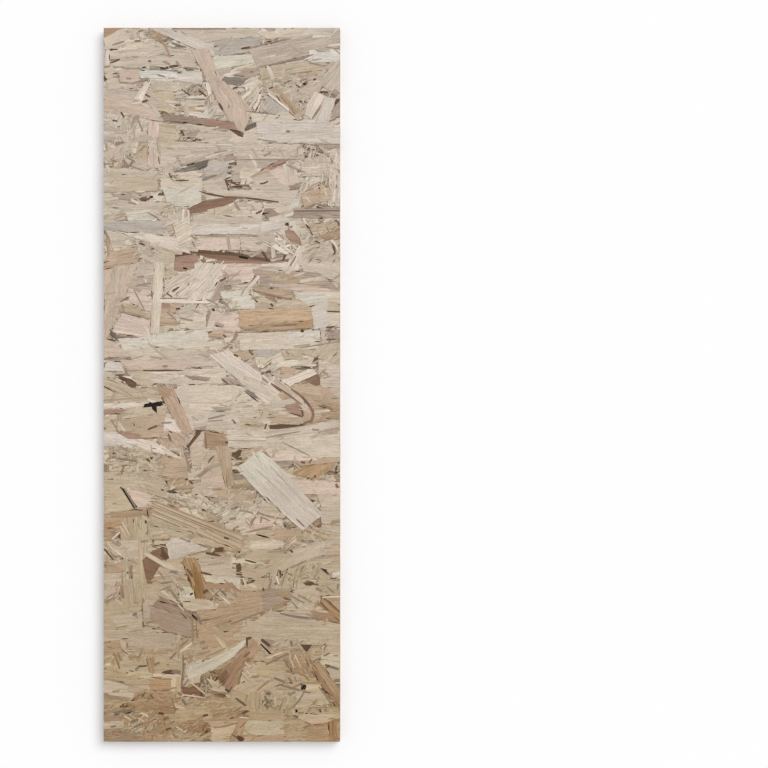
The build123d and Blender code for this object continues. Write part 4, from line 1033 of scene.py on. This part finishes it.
class BedTree(StrandTree):
    """Strands strewn at random over a flat mesh that carries the facts of its beds.

    The class values are two ramps of tones, and ranges and chances of the random draws, in shares of a
    strand's width or length, from 0 to 1, or as slopes.
    """

    name = "strewn_strands"
    inputs = {"Outline": "Geometry", "Half Length": "Float", "Seed": "Int", **StrandTree.shared}
    upper_tones = ((0.0, "8A7668"), (0.15, "A99888"), (0.4, "C0B0A0"), (0.7, "CBBDAE"), (1.0, "D8CCBE"))
    lower_tones = ((0.0, "785C42"), (0.15, "98805F"), (0.4, "B09A7C"), (0.7, "BDAA8C"), (1.0, "CCBEA4"))
    clump_size = 28 * MM
    end_widths = (0.5, 1.0)
    belly = 0.12
    slants = (-1.1, 1.1)
    bows = (-0.03, 0.03)
    tips = (-0.1, 0.25)
    tilts = (-0.004, 0.004)
    crosswise = 0.15
    strongest_streak = 0.9
    lightness = (0.72, 1.5)
    shaded_share = 0.22
    shaded_drop = -0.34
    draws = 0

    def random(self, low: Any = 0.0, high: Any = 1.0) -> Wire:
        """Draw one number for each strand, each draw with a seed of its own."""
        self.draws += 1
        inputs = {2: low, 3: high, "Seed": self.given["Seed"] + self.draws * 100.0}
        return add_node(self.tree, "FunctionNodeRandomValue", inputs, 1, data_type="FLOAT")

    def ramp(self, stops: Iterable[tuple[float, str]], factor: Wire) -> Wire:
        """Look a factor up on a ramp of tones."""
        color = add_node(self.tree, "ShaderNodeValToRGB", {0: factor})
        elements = color.socket.node.color_ramp.elements
        for index, (at, tone) in enumerate(stops):
            stop = elements[index] if index < 2 else elements.new(at)
            stop.position = at
            stop.color = linear(tone)
        return color

    def mixed(self, share: Wire, one: Wire, other: Wire) -> Wire:
        """Blend two colours."""
        return add_node(self.tree, "ShaderNodeMix", {0: share, 6: one, 7: other}, 2, data_type="RGBA")

    def points(self) -> Wire:
        """Strew the points and give each the facts of its strand."""
        given = self.given
        inputs = {"Mesh": given["Outline"], "Density": self.fact(CROWD), "Seed": given["Seed"]}
        points = add_node(self.tree, "GeometryNodeDistributePointsOnFaces", inputs)
        lowest, highest, own = self.parts(HEIGHTS)
        inputs = {"Geometry": points, "Offset": self.joined(0.0, 0.0, self.random(lowest, highest))}
        points = add_node(self.tree, "GeometryNodeSetPosition", inputs)
        heading, spread, clump = self.parts(HEADINGS)
        position = add_node(self.tree, "GeometryNodeInputPosition")
        inputs = {0: position, "Scale": 1 / self.clump_size}
        where = add_node(self.tree, "ShaderNodeVectorMath", inputs, operation="SCALE")
        inputs = {"Geometry": points, "Selection": self.noise(where).step("LESS_THAN", clump)}
        points = add_node(self.tree, "GeometryNodeDeleteGeometry", inputs, domain="POINT")

        # Most strands are short, so the draw is squared
        shortest, longest, thickness = self.parts(LENGTHS)
        slimmest, widest, shade = self.parts(SLIMS)
        pick = self.random()
        length = self.between(shortest, longest, pick * pick)
        width = length * self.random(slimmest, widest)
        points = self.keep(points, SIZE, length, width, thickness)
        widths = [width * self.random(*self.end_widths) for _ in range(2)]
        points = self.keep(points, WIDTHS, *widths, width * self.belly)
        slants = [width * self.random(*self.slants) for _ in range(2)]
        points = self.keep(points, SLANTS, *slants, length * self.random(*self.bows))
        points = self.keep(points, TIPS, self.random(*self.tips), self.random(*self.tips), 0.0)
        lean = self.random(-1.0, 1.0) * self.random()
        across = self.random().step("LESS_THAN", self.crosswise) * (math.pi / 2)
        points = self.keep(points, TURN, lean * spread + heading + across)
        points = self.keep(points, TILT, self.random(*self.tilts), self.random(*self.tilts), 0.0)
        points = self.keep(points, SEED, self.random())
        streak = self.random(0.0, self.strongest_streak)
        points = self.keep(points, STREAK, streak * streak)

        # Paler and pinker at the far end, darker and yellower at the near end
        tone = self.random() + shade
        share = self.parts(position)[1] / (given["Half Length"] * 2.0) + 0.5
        common = self.mixed(share, self.ramp(self.lower_tones, tone), self.ramp(self.upper_tones, tone))

        # Fines in a patch keep its tone, some of them much darker as painted shade between the fines
        shade_dip = self.random().step("LESS_THAN", self.shaded_share) * self.shaded_drop
        dimness = 1.0 / (self.random(*self.lightness) + shade_dip)
        local = self.joined(*(value**dimness for value in self.parts(TINTS)))
        return self.keep(points, COLOR, self.mixed(own, common, local))


@dataclass(frozen=True)
class PineStrandFinish:
    """Pine, sliced into strands and hot-pressed unsanded: matt, with fibre streaks, darker growth lines and
    painted shade along strand outlines.

    Each pattern has its size across the grain, and its strength as a share of the strand's own light.
    """

    fibre_mm: float = 0.5
    fibre_strength: float = 0.85
    speck_mm: float = 1.3
    speck_strength: float = 0.55
    ripple_mm: float = 3.0
    ripple_strength: float = 0.35
    blotch_mm: float = 14.0
    blotch_strength: float = 0.4
    line_mm: float = 2.6
    line_strength: float = 0.42
    line_sharpness: float = 1.5
    rim_mm: float = 0.55
    rim_shade_strength: float = 0.3
    middle_light: float = 1.06
    blue_power: float = 1.15
    roughness: float = 0.78
    specular: float = 0.3
    bump_mm: float = 0.25
    warm: str = "E7DBC6"
    warm_from_mm: float = -50.0
    warm_to_mm: float = -420.0

    def make(self) -> bpy.types.Material:
        """Build the material."""
        material = bpy.data.materials.new("pressed_pine_strand")
        material.use_nodes = True
        tree = material.node_tree
        tree.nodes.clear()

        def carried(name: str, output: str = "Vector") -> Wire:
            """Read what the strand carries under a name."""
            return add_node(tree, "ShaderNodeAttribute", None, output, attribute_name=name)

        def streaks(along_mm: float, across_mm: float, detail: float) -> Wire:
            """Noise drawn out along the grain, about zero."""
            scaled = {0: grain[0] / along_mm, 1: grain[1] / across_mm, 2: grain[2]}
            vector = add_node(tree, "ShaderNodeCombineXYZ", scaled)
            inputs = {"Vector": vector, "Scale": 1.0, "Detail": detail}
            return add_node(tree, "ShaderNodeTexNoise", inputs) - 0.5

        grain = add_node(tree, "ShaderNodeSeparateXYZ", {0: carried(GRAIN)}).outputs
        edge = add_node(tree, "ShaderNodeSeparateXYZ", {0: carried(RIM)}).outputs

        # Growth lines wander along the strand, with a narrow dark latewood band in each
        phase = grain[1] / self.line_mm + streaks(60.0, 9.0, 1.0) * 5.0
        wave = (phase * (2 * math.pi)).step("SINE")
        lines = wave.step("MAXIMUM", 0.0) ** self.line_sharpness * carried(STREAK, "Fac") * self.line_strength

        # Fibres, specks, blotches and ripples are all drawn out along the grain
        fibre = streaks(14.0, self.fibre_mm, 3.0)
        ripple = streaks(45.0, self.ripple_mm, 1.0)
        speck = streaks(3.5, self.speck_mm, 2.0)
        blotch = streaks(self.blotch_mm * 3, self.blotch_mm / 2, 2.0)
        fine = fibre * self.fibre_strength + speck * self.speck_strength
        coarse = blotch * self.blotch_strength + ripple * self.ripple_strength
        light = fine + coarse + self.middle_light - lines

        # A strand's outline darkens here and there: painted shade along its edges, with some resin and dirt
        inputs = {"Value": edge[0].step("MINIMUM", edge[1]), "From Max": self.rim_mm * MM}
        rim = add_node(tree, "ShaderNodeMapRange", {**inputs, "To Min": self.rim_shade_strength, "To Max": 0.0})
        light = light - rim * (speck * 1.8 + 0.45).step("MAXIMUM", 0.0)

        # The near end is darker and yellower than the far one
        place = add_node(tree, "ShaderNodeTexCoord", None, "Object")
        along = add_node(tree, "ShaderNodeSeparateXYZ", {0: place}).outputs[1]
        inputs = {"Value": along, "From Min": self.warm_from_mm * MM, "From Max": self.warm_to_mm * MM}
        near_end_share = add_node(tree, "ShaderNodeMapRange", inputs)
        multiply = {"data_type": "RGBA", "blend_type": "MULTIPLY"}
        inputs = {0: near_end_share, 6: carried(COLOR, "Color"), 7: linear(self.warm)}
        color = add_node(tree, "ShaderNodeMix", inputs, 2, **multiply)
        grey = add_node(tree, "ShaderNodeCombineColor", {0: light, 1: light, 2: light**self.blue_power})
        height = fibre * 0.6 - lines * 0.5
        bump = {"Height": height, "Distance": self.bump_mm * MM, "Strength": 0.6}
        shader = add_node(tree, "ShaderNodeBsdfPrincipled", {
            "Base Color": add_node(tree, "ShaderNodeMix", {0: 1.0, 6: color, 7: grey}, 2, **multiply),
            "Roughness": self.roughness,
            "Specular IOR Level": self.specular,
            "Normal": add_node(tree, "ShaderNodeBump", bump),
        })
        add_node(tree, "ShaderNodeOutputMaterial", {0: shader})
        return material


@dataclass(frozen=True)
class CoreFinish:
    """The mat's inside, pressed and soaked with resin: brown and matt, seen only down gaps."""

    light: str = "9A7E60"
    dark: str = "6E5640"
    flake_mm: float = 9.0
    detail: float = 4.0
    roughness: float = 0.85

    def make(self) -> bpy.types.Material:
        """Build the material."""
        material = bpy.data.materials.new("resin_soaked_core")
        material.use_nodes = True
        tree = material.node_tree
        tree.nodes.clear()
        place = add_node(tree, "ShaderNodeTexCoord", None, "Object")
        inputs = {"Vector": place, "Scale": 1 / (self.flake_mm * MM), "Detail": self.detail}
        color = add_node(tree, "ShaderNodeValToRGB", {0: add_node(tree, "ShaderNodeTexNoise", inputs)})
        stops = color.socket.node.color_ramp.elements
        for stop, at, tone in zip(stops, (0.35, 0.65), (self.dark, self.light)):
            stop.position = at
            stop.color = linear(tone)
        inputs = {"Base Color": color, "Roughness": self.roughness}
        add_node(tree, "ShaderNodeOutputMaterial", {0: add_node(tree, "ShaderNodeBsdfPrincipled", inputs)})
        return material


@dataclass
class Panel:
    """The whole panel: its core, its beds of strands and the listed strands."""

    node: str = "osb_panel"
    slot: str = "strand_board"
    strand_thickness: float = 0.7 * MM
    core_inset: float = 3.0 * MM
    core_side_inset: float = 1.0 * MM
    core_shake_mm: float = 0.3
    deepest_gap: float = 2.5 * MM
    skin: float = 0.01 * MM
    torn: float = 0.3 * MM
    pile_step: float = 0.002 * MM
    level_slack: float = 0.02
    clearance: float = 0.15 * MM
    margin: float = 15 * MM
    overhang: float = 6 * MM
    edge_reach: float = 4 * MM
    fines_mm: float = 2.0
    fines_per_m2: float = 90000.0
    fines_spread: float = 60.0
    fines_longest_share: float = 0.85
    fines_slim: tuple[float, float] = (0.14, 0.34)
    fines_height_mm: tuple[float, float] = (-0.45, -0.1)
    fines_thickness_mm: float = 0.3
    ragged: float = 0.35
    thin_px: float = 3.0
    fray_px: float = 12.0
    fray_lean: float = 0.14
    fray_out_px: tuple[float, float] = (-0.7, 0.5)
    fray_reach_px: tuple[float, float] = (1.5, 7.0)
    fray_width_px: tuple[float, float] = (0.5, 1.4)
    fray_highlight: tuple[float, float] = (0.95, 1.3)
    fray_shade: tuple[float, float] = (0.1, 0.75)

    def __post_init__(self) -> None:
        """Read the panel's box from the frame."""
        self.low, self.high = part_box(self.node)
        self.size = self.high - self.low
        self.scale = self.size.x / (PANEL_RIGHT_PX - PANEL_LEFT_PX)
        self.press = {"Lower Press": self.low.z + self.skin, "Upper Press": self.high.z - self.skin}
        self.saw = self.trimmer("saw", False)
        self.gaps = self.trimmer("saw_and_gaps", True)
        self.strand_finish = PineStrandFinish().make()
        self.core_finish = CoreFinish().make()

    def block(self, shape: bmesh.types.BMesh, size: Vector) -> None:
        """Add a block of that size about the panel's middle."""
        bmesh.ops.create_cube(shape, size=1.0)
        bmesh.ops.scale(shape, vec=size, verts=shape.verts)
        bmesh.ops.translate(shape, vec=(self.low + self.high) / 2, verts=shape.verts)

    def trimmer(self, name: str, gaps: bool) -> bpy.types.Object:
        """Make the shape that trims strands at the saw cuts.

        Args:
            name: The trimmer's name.
            gaps: Whether it is a merged copy of the panel's own solid, with its gaps opened down to the core,
                or a plain block of the panel's size, which leaves the face whole.

        Returns:
            The trimmer.
        """
        shape = bmesh.new()
        if gaps:
            shape.from_mesh(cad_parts[self.node].data)
            bmesh.ops.remove_doubles(shape, verts=shape.verts, dist=1e-7)
            for vertex in shape.verts:
                if self.high.z - self.deepest_gap < vertex.co.z < self.high.z - self.skin:
                    vertex.co.z = self.high.z - self.core_inset
        else:
            self.block(shape, self.size)
        made = self.linked(name, shape)
        if "custom_normal" in made.data.attributes:
            made.data.attributes.remove(made.data.attributes["custom_normal"])
        return made

    def linked(self, name: str, shape: bmesh.types.BMesh | bpy.types.Mesh) -> bpy.types.Object:
        """Put a shape in the scene."""
        mesh = shape
        if isinstance(shape, bmesh.types.BMesh):
            mesh = bpy.data.meshes.new(name)
            shape.to_mesh(mesh)
            shape.free()
        made = bpy.data.objects.new(name, mesh)
        bpy.context.scene.collection.objects.link(made)
        return made

    def photo_point(self, pixel: tuple[float, float]) -> Vector:
        """Turn a pixel of the photograph into a place on the panel."""
        share_x = (pixel[0] - PANEL_LEFT_PX) / (PANEL_RIGHT_PX - PANEL_LEFT_PX)
        share_y = (PANEL_BOTTOM_PX - pixel[1]) / (PANEL_BOTTOM_PX - PANEL_TOP_PX)
        return Vector((self.low.x + share_x * self.size.x, self.low.y + share_y * self.size.y, 0.0))

    def settle(self, made: bpy.types.Object, finish: bpy.types.Material, gaps: bool = False) -> None:
        """Trim a piece, turn it into a plain mesh and hand it to the frame.

        Args:
            made: The object, with any modifiers still live.
            finish: Its material.
            gaps: Whether the face's gaps cut it, besides the saw.
        """
        cut = made.modifiers.new("trim", "BOOLEAN")
        cut.operation = "INTERSECT"
        cut.solver = "MANIFOLD"
        cut.object = self.gaps if gaps else self.saw
        graph = bpy.context.evaluated_depsgraph_get()
        mesh = bpy.data.meshes.new_from_object(made.evaluated_get(graph))
        made.modifiers.clear()
        made.data = mesh
        mesh.name = made.name
        mesh.materials.clear()
        mesh.materials.append(finish)
        mesh.polygons.foreach_set("material_index", [0] * len(mesh.polygons))
        if COLOR in mesh.attributes:
            self.mend(mesh)
            self.tear(mesh)
        for fact in SCAFFOLD & set(mesh.attributes.keys()):
            mesh.attributes.remove(mesh.attributes[fact])
        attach(made, "root")
        LOG.info("%s: %d faces", made.name, len(mesh.polygons))

    def mend(self, mesh: bpy.types.Mesh) -> None:
        """Give each corner that the trimming added the facts of the strand it lies in."""
        thick = [item.vector.z for item in mesh.attributes[SIZE].data]
        whole = max(thick) * 0.999
        bare = {index for index, value in enumerate(thick) if value < whole}
        near: dict[int, list[int]] = {index: [] for index in bare}
        for edge in mesh.edges:
            one, other = edge.vertices
            if one in near:
                near[one].append(other)
            if other in near:
                near[other].append(one)
        fields = {COLOR: "color", PLACE: "vector", RIM: "vector"}
        fields |= dict.fromkeys((TURN, SEED, STREAK), "value")
        grain, places, turns = (mesh.attributes[name].data for name in (GRAIN, PLACE, TURN))
        while bare:
            fed = {index: other for index in bare for other in near[index] if other not in bare}
            if not fed:
                break
            for index, other in fed.items():
                for name, field in fields.items():
                    data = mesh.attributes[name].data
                    setattr(data[index], field, getattr(data[other], field))
                local = (mesh.vertices[index].co - places[index].vector).to_2d()
                local.rotate(Matrix.Rotation(-turns[index].value, 2))
                grain[index].vector = (local.x / MM, local.y / MM, grain[other].vector.z)
            bare -= set(fed)

    def tear(self, mesh: bpy.types.Mesh) -> None:
        """Let each strand's sawn end lie a little back from the cut, by an amount of its own."""
        seeds = mesh.attributes[SEED].data
        for vertex in mesh.vertices:
            for axis in (0, 1):
                for side, plane in ((1, self.high[axis]), (-1, self.low[axis])):
                    if abs(vertex.co[axis] - plane) < self.skin:
                        vertex.co[axis] -= side * seeds[vertex.index].value * self.torn

    def core(self) -> None:
        """Make the pressed middle of the mat, just inside the strands, rough on every side."""
        shape = bmesh.new()
        inset = Vector((self.core_side_inset, self.core_side_inset, self.core_inset)) * 2
        self.block(shape, self.size - inset)
        bmesh.ops.subdivide_edges(shape, edges=shape.edges, cuts=24, use_grid_fill=True)
        shake = random.Random(5)
        for vertex in shape.verts:
            moves = [shake.uniform(-self.core_shake_mm, self.core_shake_mm) * MM for _ in range(3)]
            vertex.co += Vector(moves)
        made = self.linked("panel_core", shape)
        self.settle(made, self.core_finish)
        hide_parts(self.node)

    def ring(self, grow: float) -> list[Vector]:
        """The panel's four corners, moved out by that much."""
        left, right = self.low.x - grow, self.high.x + grow
        near, far = self.low.y - grow, self.high.y + grow
        corners = ((left, near), (right, near), (right, far), (left, far))
        return [Vector((x, y, self.high.z)) for x, y in corners]

    def band(self, inner: float) -> list[list[Vector]]:
        """Four rings that reach from outside the panel's edges to that far inside them."""
        outside, inside = self.ring(self.overhang), self.ring(-inner)
        return [[outside[at - 1], outside[at], inside[at], inside[at - 1]] for at in range(4)]

    def dress(
        self,
        mesh: bpy.types.Mesh,
        facts: dict[str, list[float]],
        domain: str,
        tree: StrandTree,
        values: dict[str, Any],
        gaps: bool,
    ) -> None:
        """Store facts on a bare mesh, make its strands and trim them to the panel.

        Args:
            mesh: Points of strands, or faces of plots, named for the piece.
            facts: Name to the numbers of all the points or faces in turn.
            domain: Which of the two carry them.
            tree: The tree that makes the strands.
            values: Its inputs by name, besides those that every tree has. Each is set by its identifier.
            gaps: Whether the face's gaps cut them.
        """
        count = len(mesh.vertices) if domain == "POINT" else len(mesh.polygons)
        fields = {1: ("FLOAT", "value"), 3: ("FLOAT_VECTOR", "vector"), 4: ("FLOAT_COLOR", "color")}
        for fact, numbers in facts.items():
            kind, field = fields[len(numbers) // count]
            mesh.attributes.new(fact, kind, domain).data.foreach_set(field, numbers)
        made = self.linked(mesh.name, mesh)
        modifier = made.modifiers.new("strands", "NODES")
        modifier.node_group = tree.tree
        values = {**values, **self.press, "Finish": self.strand_finish}
        for item in tree.tree.interface.items_tree:
            if item.in_out == "INPUT" and item.name in values:
                modifier[item.identifier] = values[item.name]
        self.settle(made, self.strand_finish, gaps)

    def bed(
        self, name: str, plots: list[tuple[Bed, list[Vector]]], tree: BedTree, seed: int, gaps: bool = False
    ) -> None:
        """Strew strands over plots.

        Args:
            name: The piece's name.
            plots: Beds, each with the ring that it fills.
            tree: The tree that strews them.
            seed: Seed of every random draw.
            gaps: Whether the face's gaps cut them.
        """
        corners: list[Vector] = []
        rings = []
        facts: dict[str, list[float]] = {}
        for plan, ring in plots:
            rings.append(range(len(corners), len(corners) + len(ring)))
            corners += ring
            for fact, numbers in plan.facts().items():
                facts.setdefault(fact, []).extend(numbers)
        mesh = bpy.data.meshes.new(name)
        mesh.from_pydata(corners, [], rings)
        values = {"Ragged": self.ragged, "Half Length": self.size.y / 2, "Seed": seed}
        self.dress(mesh, facts, "FACE", tree, values, gaps)

    def patch_plot(self, patch: Patch) -> tuple[Bed, list[Vector]]:
        """The bed of fines that a patch of the photograph stands for, and the ring that it fills."""
        pixels = zip(patch.corners[::2], patch.corners[1::2])
        ring = [self.photo_point(pixel) + Vector((0, 0, self.high.z)) for pixel in pixels]
        top = -self.clearance / MM
        plan = Bed(
            patch.crowd * self.fines_per_m2,
            (self.fines_mm, self.fines_longest_share * patch.longest * self.scale / MM),
            self.fines_slim,
            (top + self.fines_height_mm[0], top + self.fines_height_mm[1]),
            patch.heading,
            self.fines_spread,
            self.fines_thickness_mm,
            tone=patch.tone,
        )
        return plan, ring

    def steps_up(self, strands: list[Strand]) -> list[int]:
        """Count how many of its own level each strand crosses in a pile, so that a later one lies on top."""
        boxes: list[tuple[list[float], list[float]]] = []
        steps: list[int] = []
        for strand in strands:
            reach = max(strand.widths) / 2
            low = [min(ends) - reach for ends in zip(strand.start, strand.end)]
            high = [max(ends) + reach for ends in zip(strand.start, strand.end)]
            crossed = [
                step for step, (start, end), other in zip(steps, boxes, strands)
                if abs(other.level - strand.level) < self.level_slack
                and all(start[axis] < high[axis] and end[axis] > low[axis] for axis in (0, 1))
            ]
            boxes.append((low, high))
            steps.append(max(crossed, default=-1) + 1)
        return steps

    def frayed(self, strand: Strand, draw: random.Random) -> list[Strand]:
        """Make loose splinters along a strand's sides and at its ends, paler than the strand as a painted
        highlight, and darker on the sides that face away from the key as painted shade.

        Args:
            strand: The strand.
            draw: Where the random numbers come from.

        Returns:
            The splinters.
        """
        start, end = Vector(strand.start), Vector(strand.end)
        run = end - start
        along = run.normalized()
        left = Vector((along.y, -along.x))
        widest = max(strand.widths)
        around = 2 * (run.length + widest)
        splinters = []
        for _ in range(round(around / self.fray_px)):
            if draw.random() < 2 * widest / around:
                share = float(draw.random() < 0.5)
                across = draw.uniform(-0.45, 0.45)
                outward = along * (2 * share - 1)
            else:
                share = draw.uniform(0.05, 0.95)
                across = draw.choice((-0.5, 0.5))
                outward = left * across * 2
            width = strand.widths[0] + (strand.widths[1] - strand.widths[0]) * share
            slant = strand.slants[round(share)] * widest * across * abs(2 * share - 1)
            arch = 1 - (2 * share - 1) ** 2
            middle = start + run * share + along * slant + left * (across * width + arch * strand.bow)
            middle += outward * draw.uniform(*self.fray_out_px)
            lean = draw.gauss(0.0, self.fray_lean)
            reach = along * draw.uniform(*self.fray_reach_px)
            reach.rotate(Matrix.Rotation(lean, 2))
            # Painted highlight on every splinter, with less of it and painted shade on the sides that face
            # down and left, away from the key
            shaded_side = max(outward.dot(Vector((-0.7, 0.7))), 0.0)
            light = draw.uniform(*self.fray_highlight) - shaded_side * draw.uniform(*self.fray_shade)
            splinters.append(Strand(
                tuple(middle - reach), tuple(middle + reach), draw.uniform(*self.fray_width_px), strand.tone,
                strand.level, (0.7, 0.7), streak=0.1, light=light,
            ))
        return splinters

    def placed(
        self, name: str, piled: list[tuple[Strand, float]], tree: StrandTree, gaps: bool = True
    ) -> None:
        """Place strands that the photograph shows.

        Args:
            name: The piece's name.
            piled: The strands, each with its step in the pile.
            tree: The tree that makes them.
            gaps: Whether the face's gaps cut them.
        """
        draw = random.Random(11)
        names = (SIZE, WIDTHS, SLANTS, TIPS, TURN, TILT, SEED, COLOR, STREAK)
        facts: dict[str, list[float]] = {fact: [] for fact in names}
        spots = []
        for strand, step in piled:
            start, end = self.photo_point(strand.start), self.photo_point(strand.end)
            run = end - start
            widths = [width * self.scale for width in strand.widths]
            widest = max(widths)
            middle = (start + end) / 2
            depth = strand.level * self.strand_thickness - step * self.pile_step
            middle.z = self.high.z - self.clearance - depth - self.strand_thickness / 2
            spots.append(middle)
            facts[SIZE] += [run.length, widest, self.strand_thickness]
            facts[WIDTHS] += [*widths, 0.0]
            facts[SLANTS] += [*(slant * widest for slant in strand.slants), strand.bow * self.scale]
            facts[TIPS] += [*strand.tips, 0.0]
            facts[TURN].append(math.atan2(run.y, run.x))
            facts[TILT] += [0.0, 0.0, 0.0]
            facts[SEED].append(draw.random())
            facts[COLOR] += [value ** (1 / strand.light) for value in linear(strand.tone.value)[:3]] + [1.0]
            facts[STREAK].append(strand.streak)
        mesh = bpy.data.meshes.new(name)
        mesh.from_pydata(spots, [], [])
        self.dress(mesh, facts, "POINT", tree, {"Ragged": self.ragged * 0.5}, gaps)

    def build(self) -> None:
        """Make every piece of the panel."""
        self.core()
        coarse, fine, sliver = BedTree(6, 3), BedTree(4, 3), BedTree(3, 2)
        beds = (
            ("face_bed", coarse, 3, False, 4200, (25, 70), (0.14, 0.36), (-2.6, -2.1), 4, 60, 0.8, -0.05),
            ("face_fill", coarse, 7, True, 5200, (16, 70), (0.12, 0.34), (-1.95, -1.5), 6, 50, 0.7, 0.02),
            ("face_fines", fine, 23, True, 6000, (5, 26), (0.08, 0.3), (-1.5, -1.25), 10, 70, 0.5, 0.04),
            ("back_bed", coarse, 13, False, 3600, (25, 90), (0.12, 0.34), (-16.9, -15.4), 0, 60, 0.8, -0.05),
            ("back_face", coarse, 17, False, 3400, (18, 110), (0.1, 0.34), (-17.4, -16.9), 0, 50, 0.7, 0.05),
        )
        for name, tree, seed, gaps, *plan in beds:
            self.bed(name, [(Bed(*plan), self.ring(self.margin))], tree, seed, gaps)
        layers = Bed(62000, (10, 50), (0.15, 0.5), (-17.0, -1.6), 90, 60, 0.75, -0.1)
        self.bed("edge_layers", [(layers, ring) for ring in self.band(self.edge_reach)], fine, 31, True)
        chips = Bed(7500, (5, 26), (0.12, 0.34), (-0.51, -0.38), 8, 60, 0.3, 0.3, clump=0.02)
        self.bed("face_chips", [(chips, self.ring(self.margin))], sliver, 47, True)
        self.bed("face_patches", [self.patch_plot(patch) for patch in PHOTO_PATCHES], sliver, 41, True)
        piled = list(zip(PHOTO_STRANDS, self.steps_up(PHOTO_STRANDS)))
        # Strands below the gap floor make the open gaps' floors, many in dark tones that paint shade
        deep = [item for item in piled if item[0].level > GAP_FLOOR]
        upper = [item for item in piled if item[0].level <= GAP_FLOOR]
        broad = [item for item in upper if max(item[0].widths) > self.thin_px]
        thin = [item for item in upper if max(item[0].widths) <= self.thin_px]
        draw = random.Random(19)
        fray = [(splinter, step + 0.5) for strand, step in broad for splinter in self.frayed(strand, draw)]
        wide_tree = StrandTree(13, 7)
        self.placed("deep_strands", deep, wide_tree, False)
        self.placed("face_strands", broad, wide_tree)
        self.placed("thin_strands", thin, StrandTree(7, 3))
        self.placed("frayed_splinters", fray, StrandTree(4, 2))
        bpy.data.objects.remove(self.saw)
        bpy.data.objects.remove(self.gaps)


@dataclass
class Studio:
    """A pale floor, plain soft light and the camera, straight above."""

    lens: float = 100.0
    sensor: float = 36.0
    key_elevation: float = 54.0
    key_azimuth: float = 45.0
    key_share: float = 0.5
    key_width: float = 40.0
    floor_half: float = 40.0
    floor_drop: float = 0.05 * MM
    floor_glow: float = 0.24

    def build(self, panel: Panel) -> None:
        """Make the floor, the lights and the camera."""
        self.floor(panel)
        self.lights()
        self.camera(panel)

    def floor(self, panel: Panel) -> None:
        """Lay a large pale floor just under the panel."""
        half, level = self.floor_half, panel.low.z - self.floor_drop
        mesh = bpy.data.meshes.new("floor")
        corners = [(x * half, y * half, level) for x, y in ((-1, -1), (1, -1), (1, 1), (-1, 1))]
        mesh.from_pydata(corners, [], [(0, 1, 2, 3)])
        made = panel.linked("floor", mesh)
        material = bpy.data.materials.new("white_paper_floor")
        material.use_nodes = True
        tree = material.node_tree
        tree.nodes.clear()
        matt = add_node(tree, "ShaderNodeBsdfDiffuse", {"Color": linear("FFFEFF")})
        glow = add_node(tree, "ShaderNodeEmission", {"Color": linear("FFFFFF"), "Strength": 1.0})
        both = add_node(tree, "ShaderNodeMixShader", {0: self.floor_glow, 1: matt, 2: glow})
        add_node(tree, "ShaderNodeOutputMaterial", {0: both})
        mesh.materials.append(material)

    def lights(self) -> None:
        """Add one soft key from the upper right, and an even dome for the rest."""
        elevation = math.radians(self.key_elevation)
        sun = bpy.data.lights.new("soft_key", "SUN")
        sun.angle = math.radians(self.key_width)
        sun.energy = self.key_share * math.pi / math.sin(elevation)
        lamp = bpy.data.objects.new("soft_key", sun)
        lamp.rotation_euler = (0.0, math.radians(90 - self.key_elevation), math.radians(self.key_azimuth))
        bpy.context.scene.collection.objects.link(lamp)
        world = bpy.data.worlds.new("even_dome")
        world.use_nodes = True
        tree = world.node_tree
        tree.nodes.clear()
        seen = add_node(tree, "ShaderNodeLightPath", None, "Is Camera Ray")
        strength = seen.step("MAXIMUM", 1.0 - self.key_share)
        glow = add_node(tree, "ShaderNodeBackground", {"Color": linear("FFFFFF"), "Strength": strength})
        add_node(tree, "ShaderNodeOutputWorld", {0: glow})
        bpy.context.scene.world = world

    def camera(self, panel: Panel) -> None:
        """Look straight down, off to the side, so that the panel stands where the photograph has it."""
        data = bpy.data.cameras.new("camera")
        data.lens = self.lens
        data.sensor_width = self.sensor
        data.clip_end = 100.0
        made = bpy.data.objects.new("camera", data)
        aim = panel.photo_point((IMAGE_PX / 2, IMAGE_PX / 2))
        across = IMAGE_PX / (PANEL_RIGHT_PX - PANEL_LEFT_PX) * panel.size.x
        made.location = (aim.x, aim.y, panel.high.z + across * self.lens / self.sensor)
        bpy.context.scene.collection.objects.link(made)
        bpy.context.scene.camera = made


def main() -> None:
    """Build the panel and the studio."""
    logging.basicConfig(level=logging.INFO, format="%(name)s %(message)s")
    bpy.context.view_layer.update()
    bpy.context.scene.view_settings.view_transform = "Standard"
    panel = Panel()
    panel.build()
    Studio().build(panel)


if __name__ == "__main__":
    main()
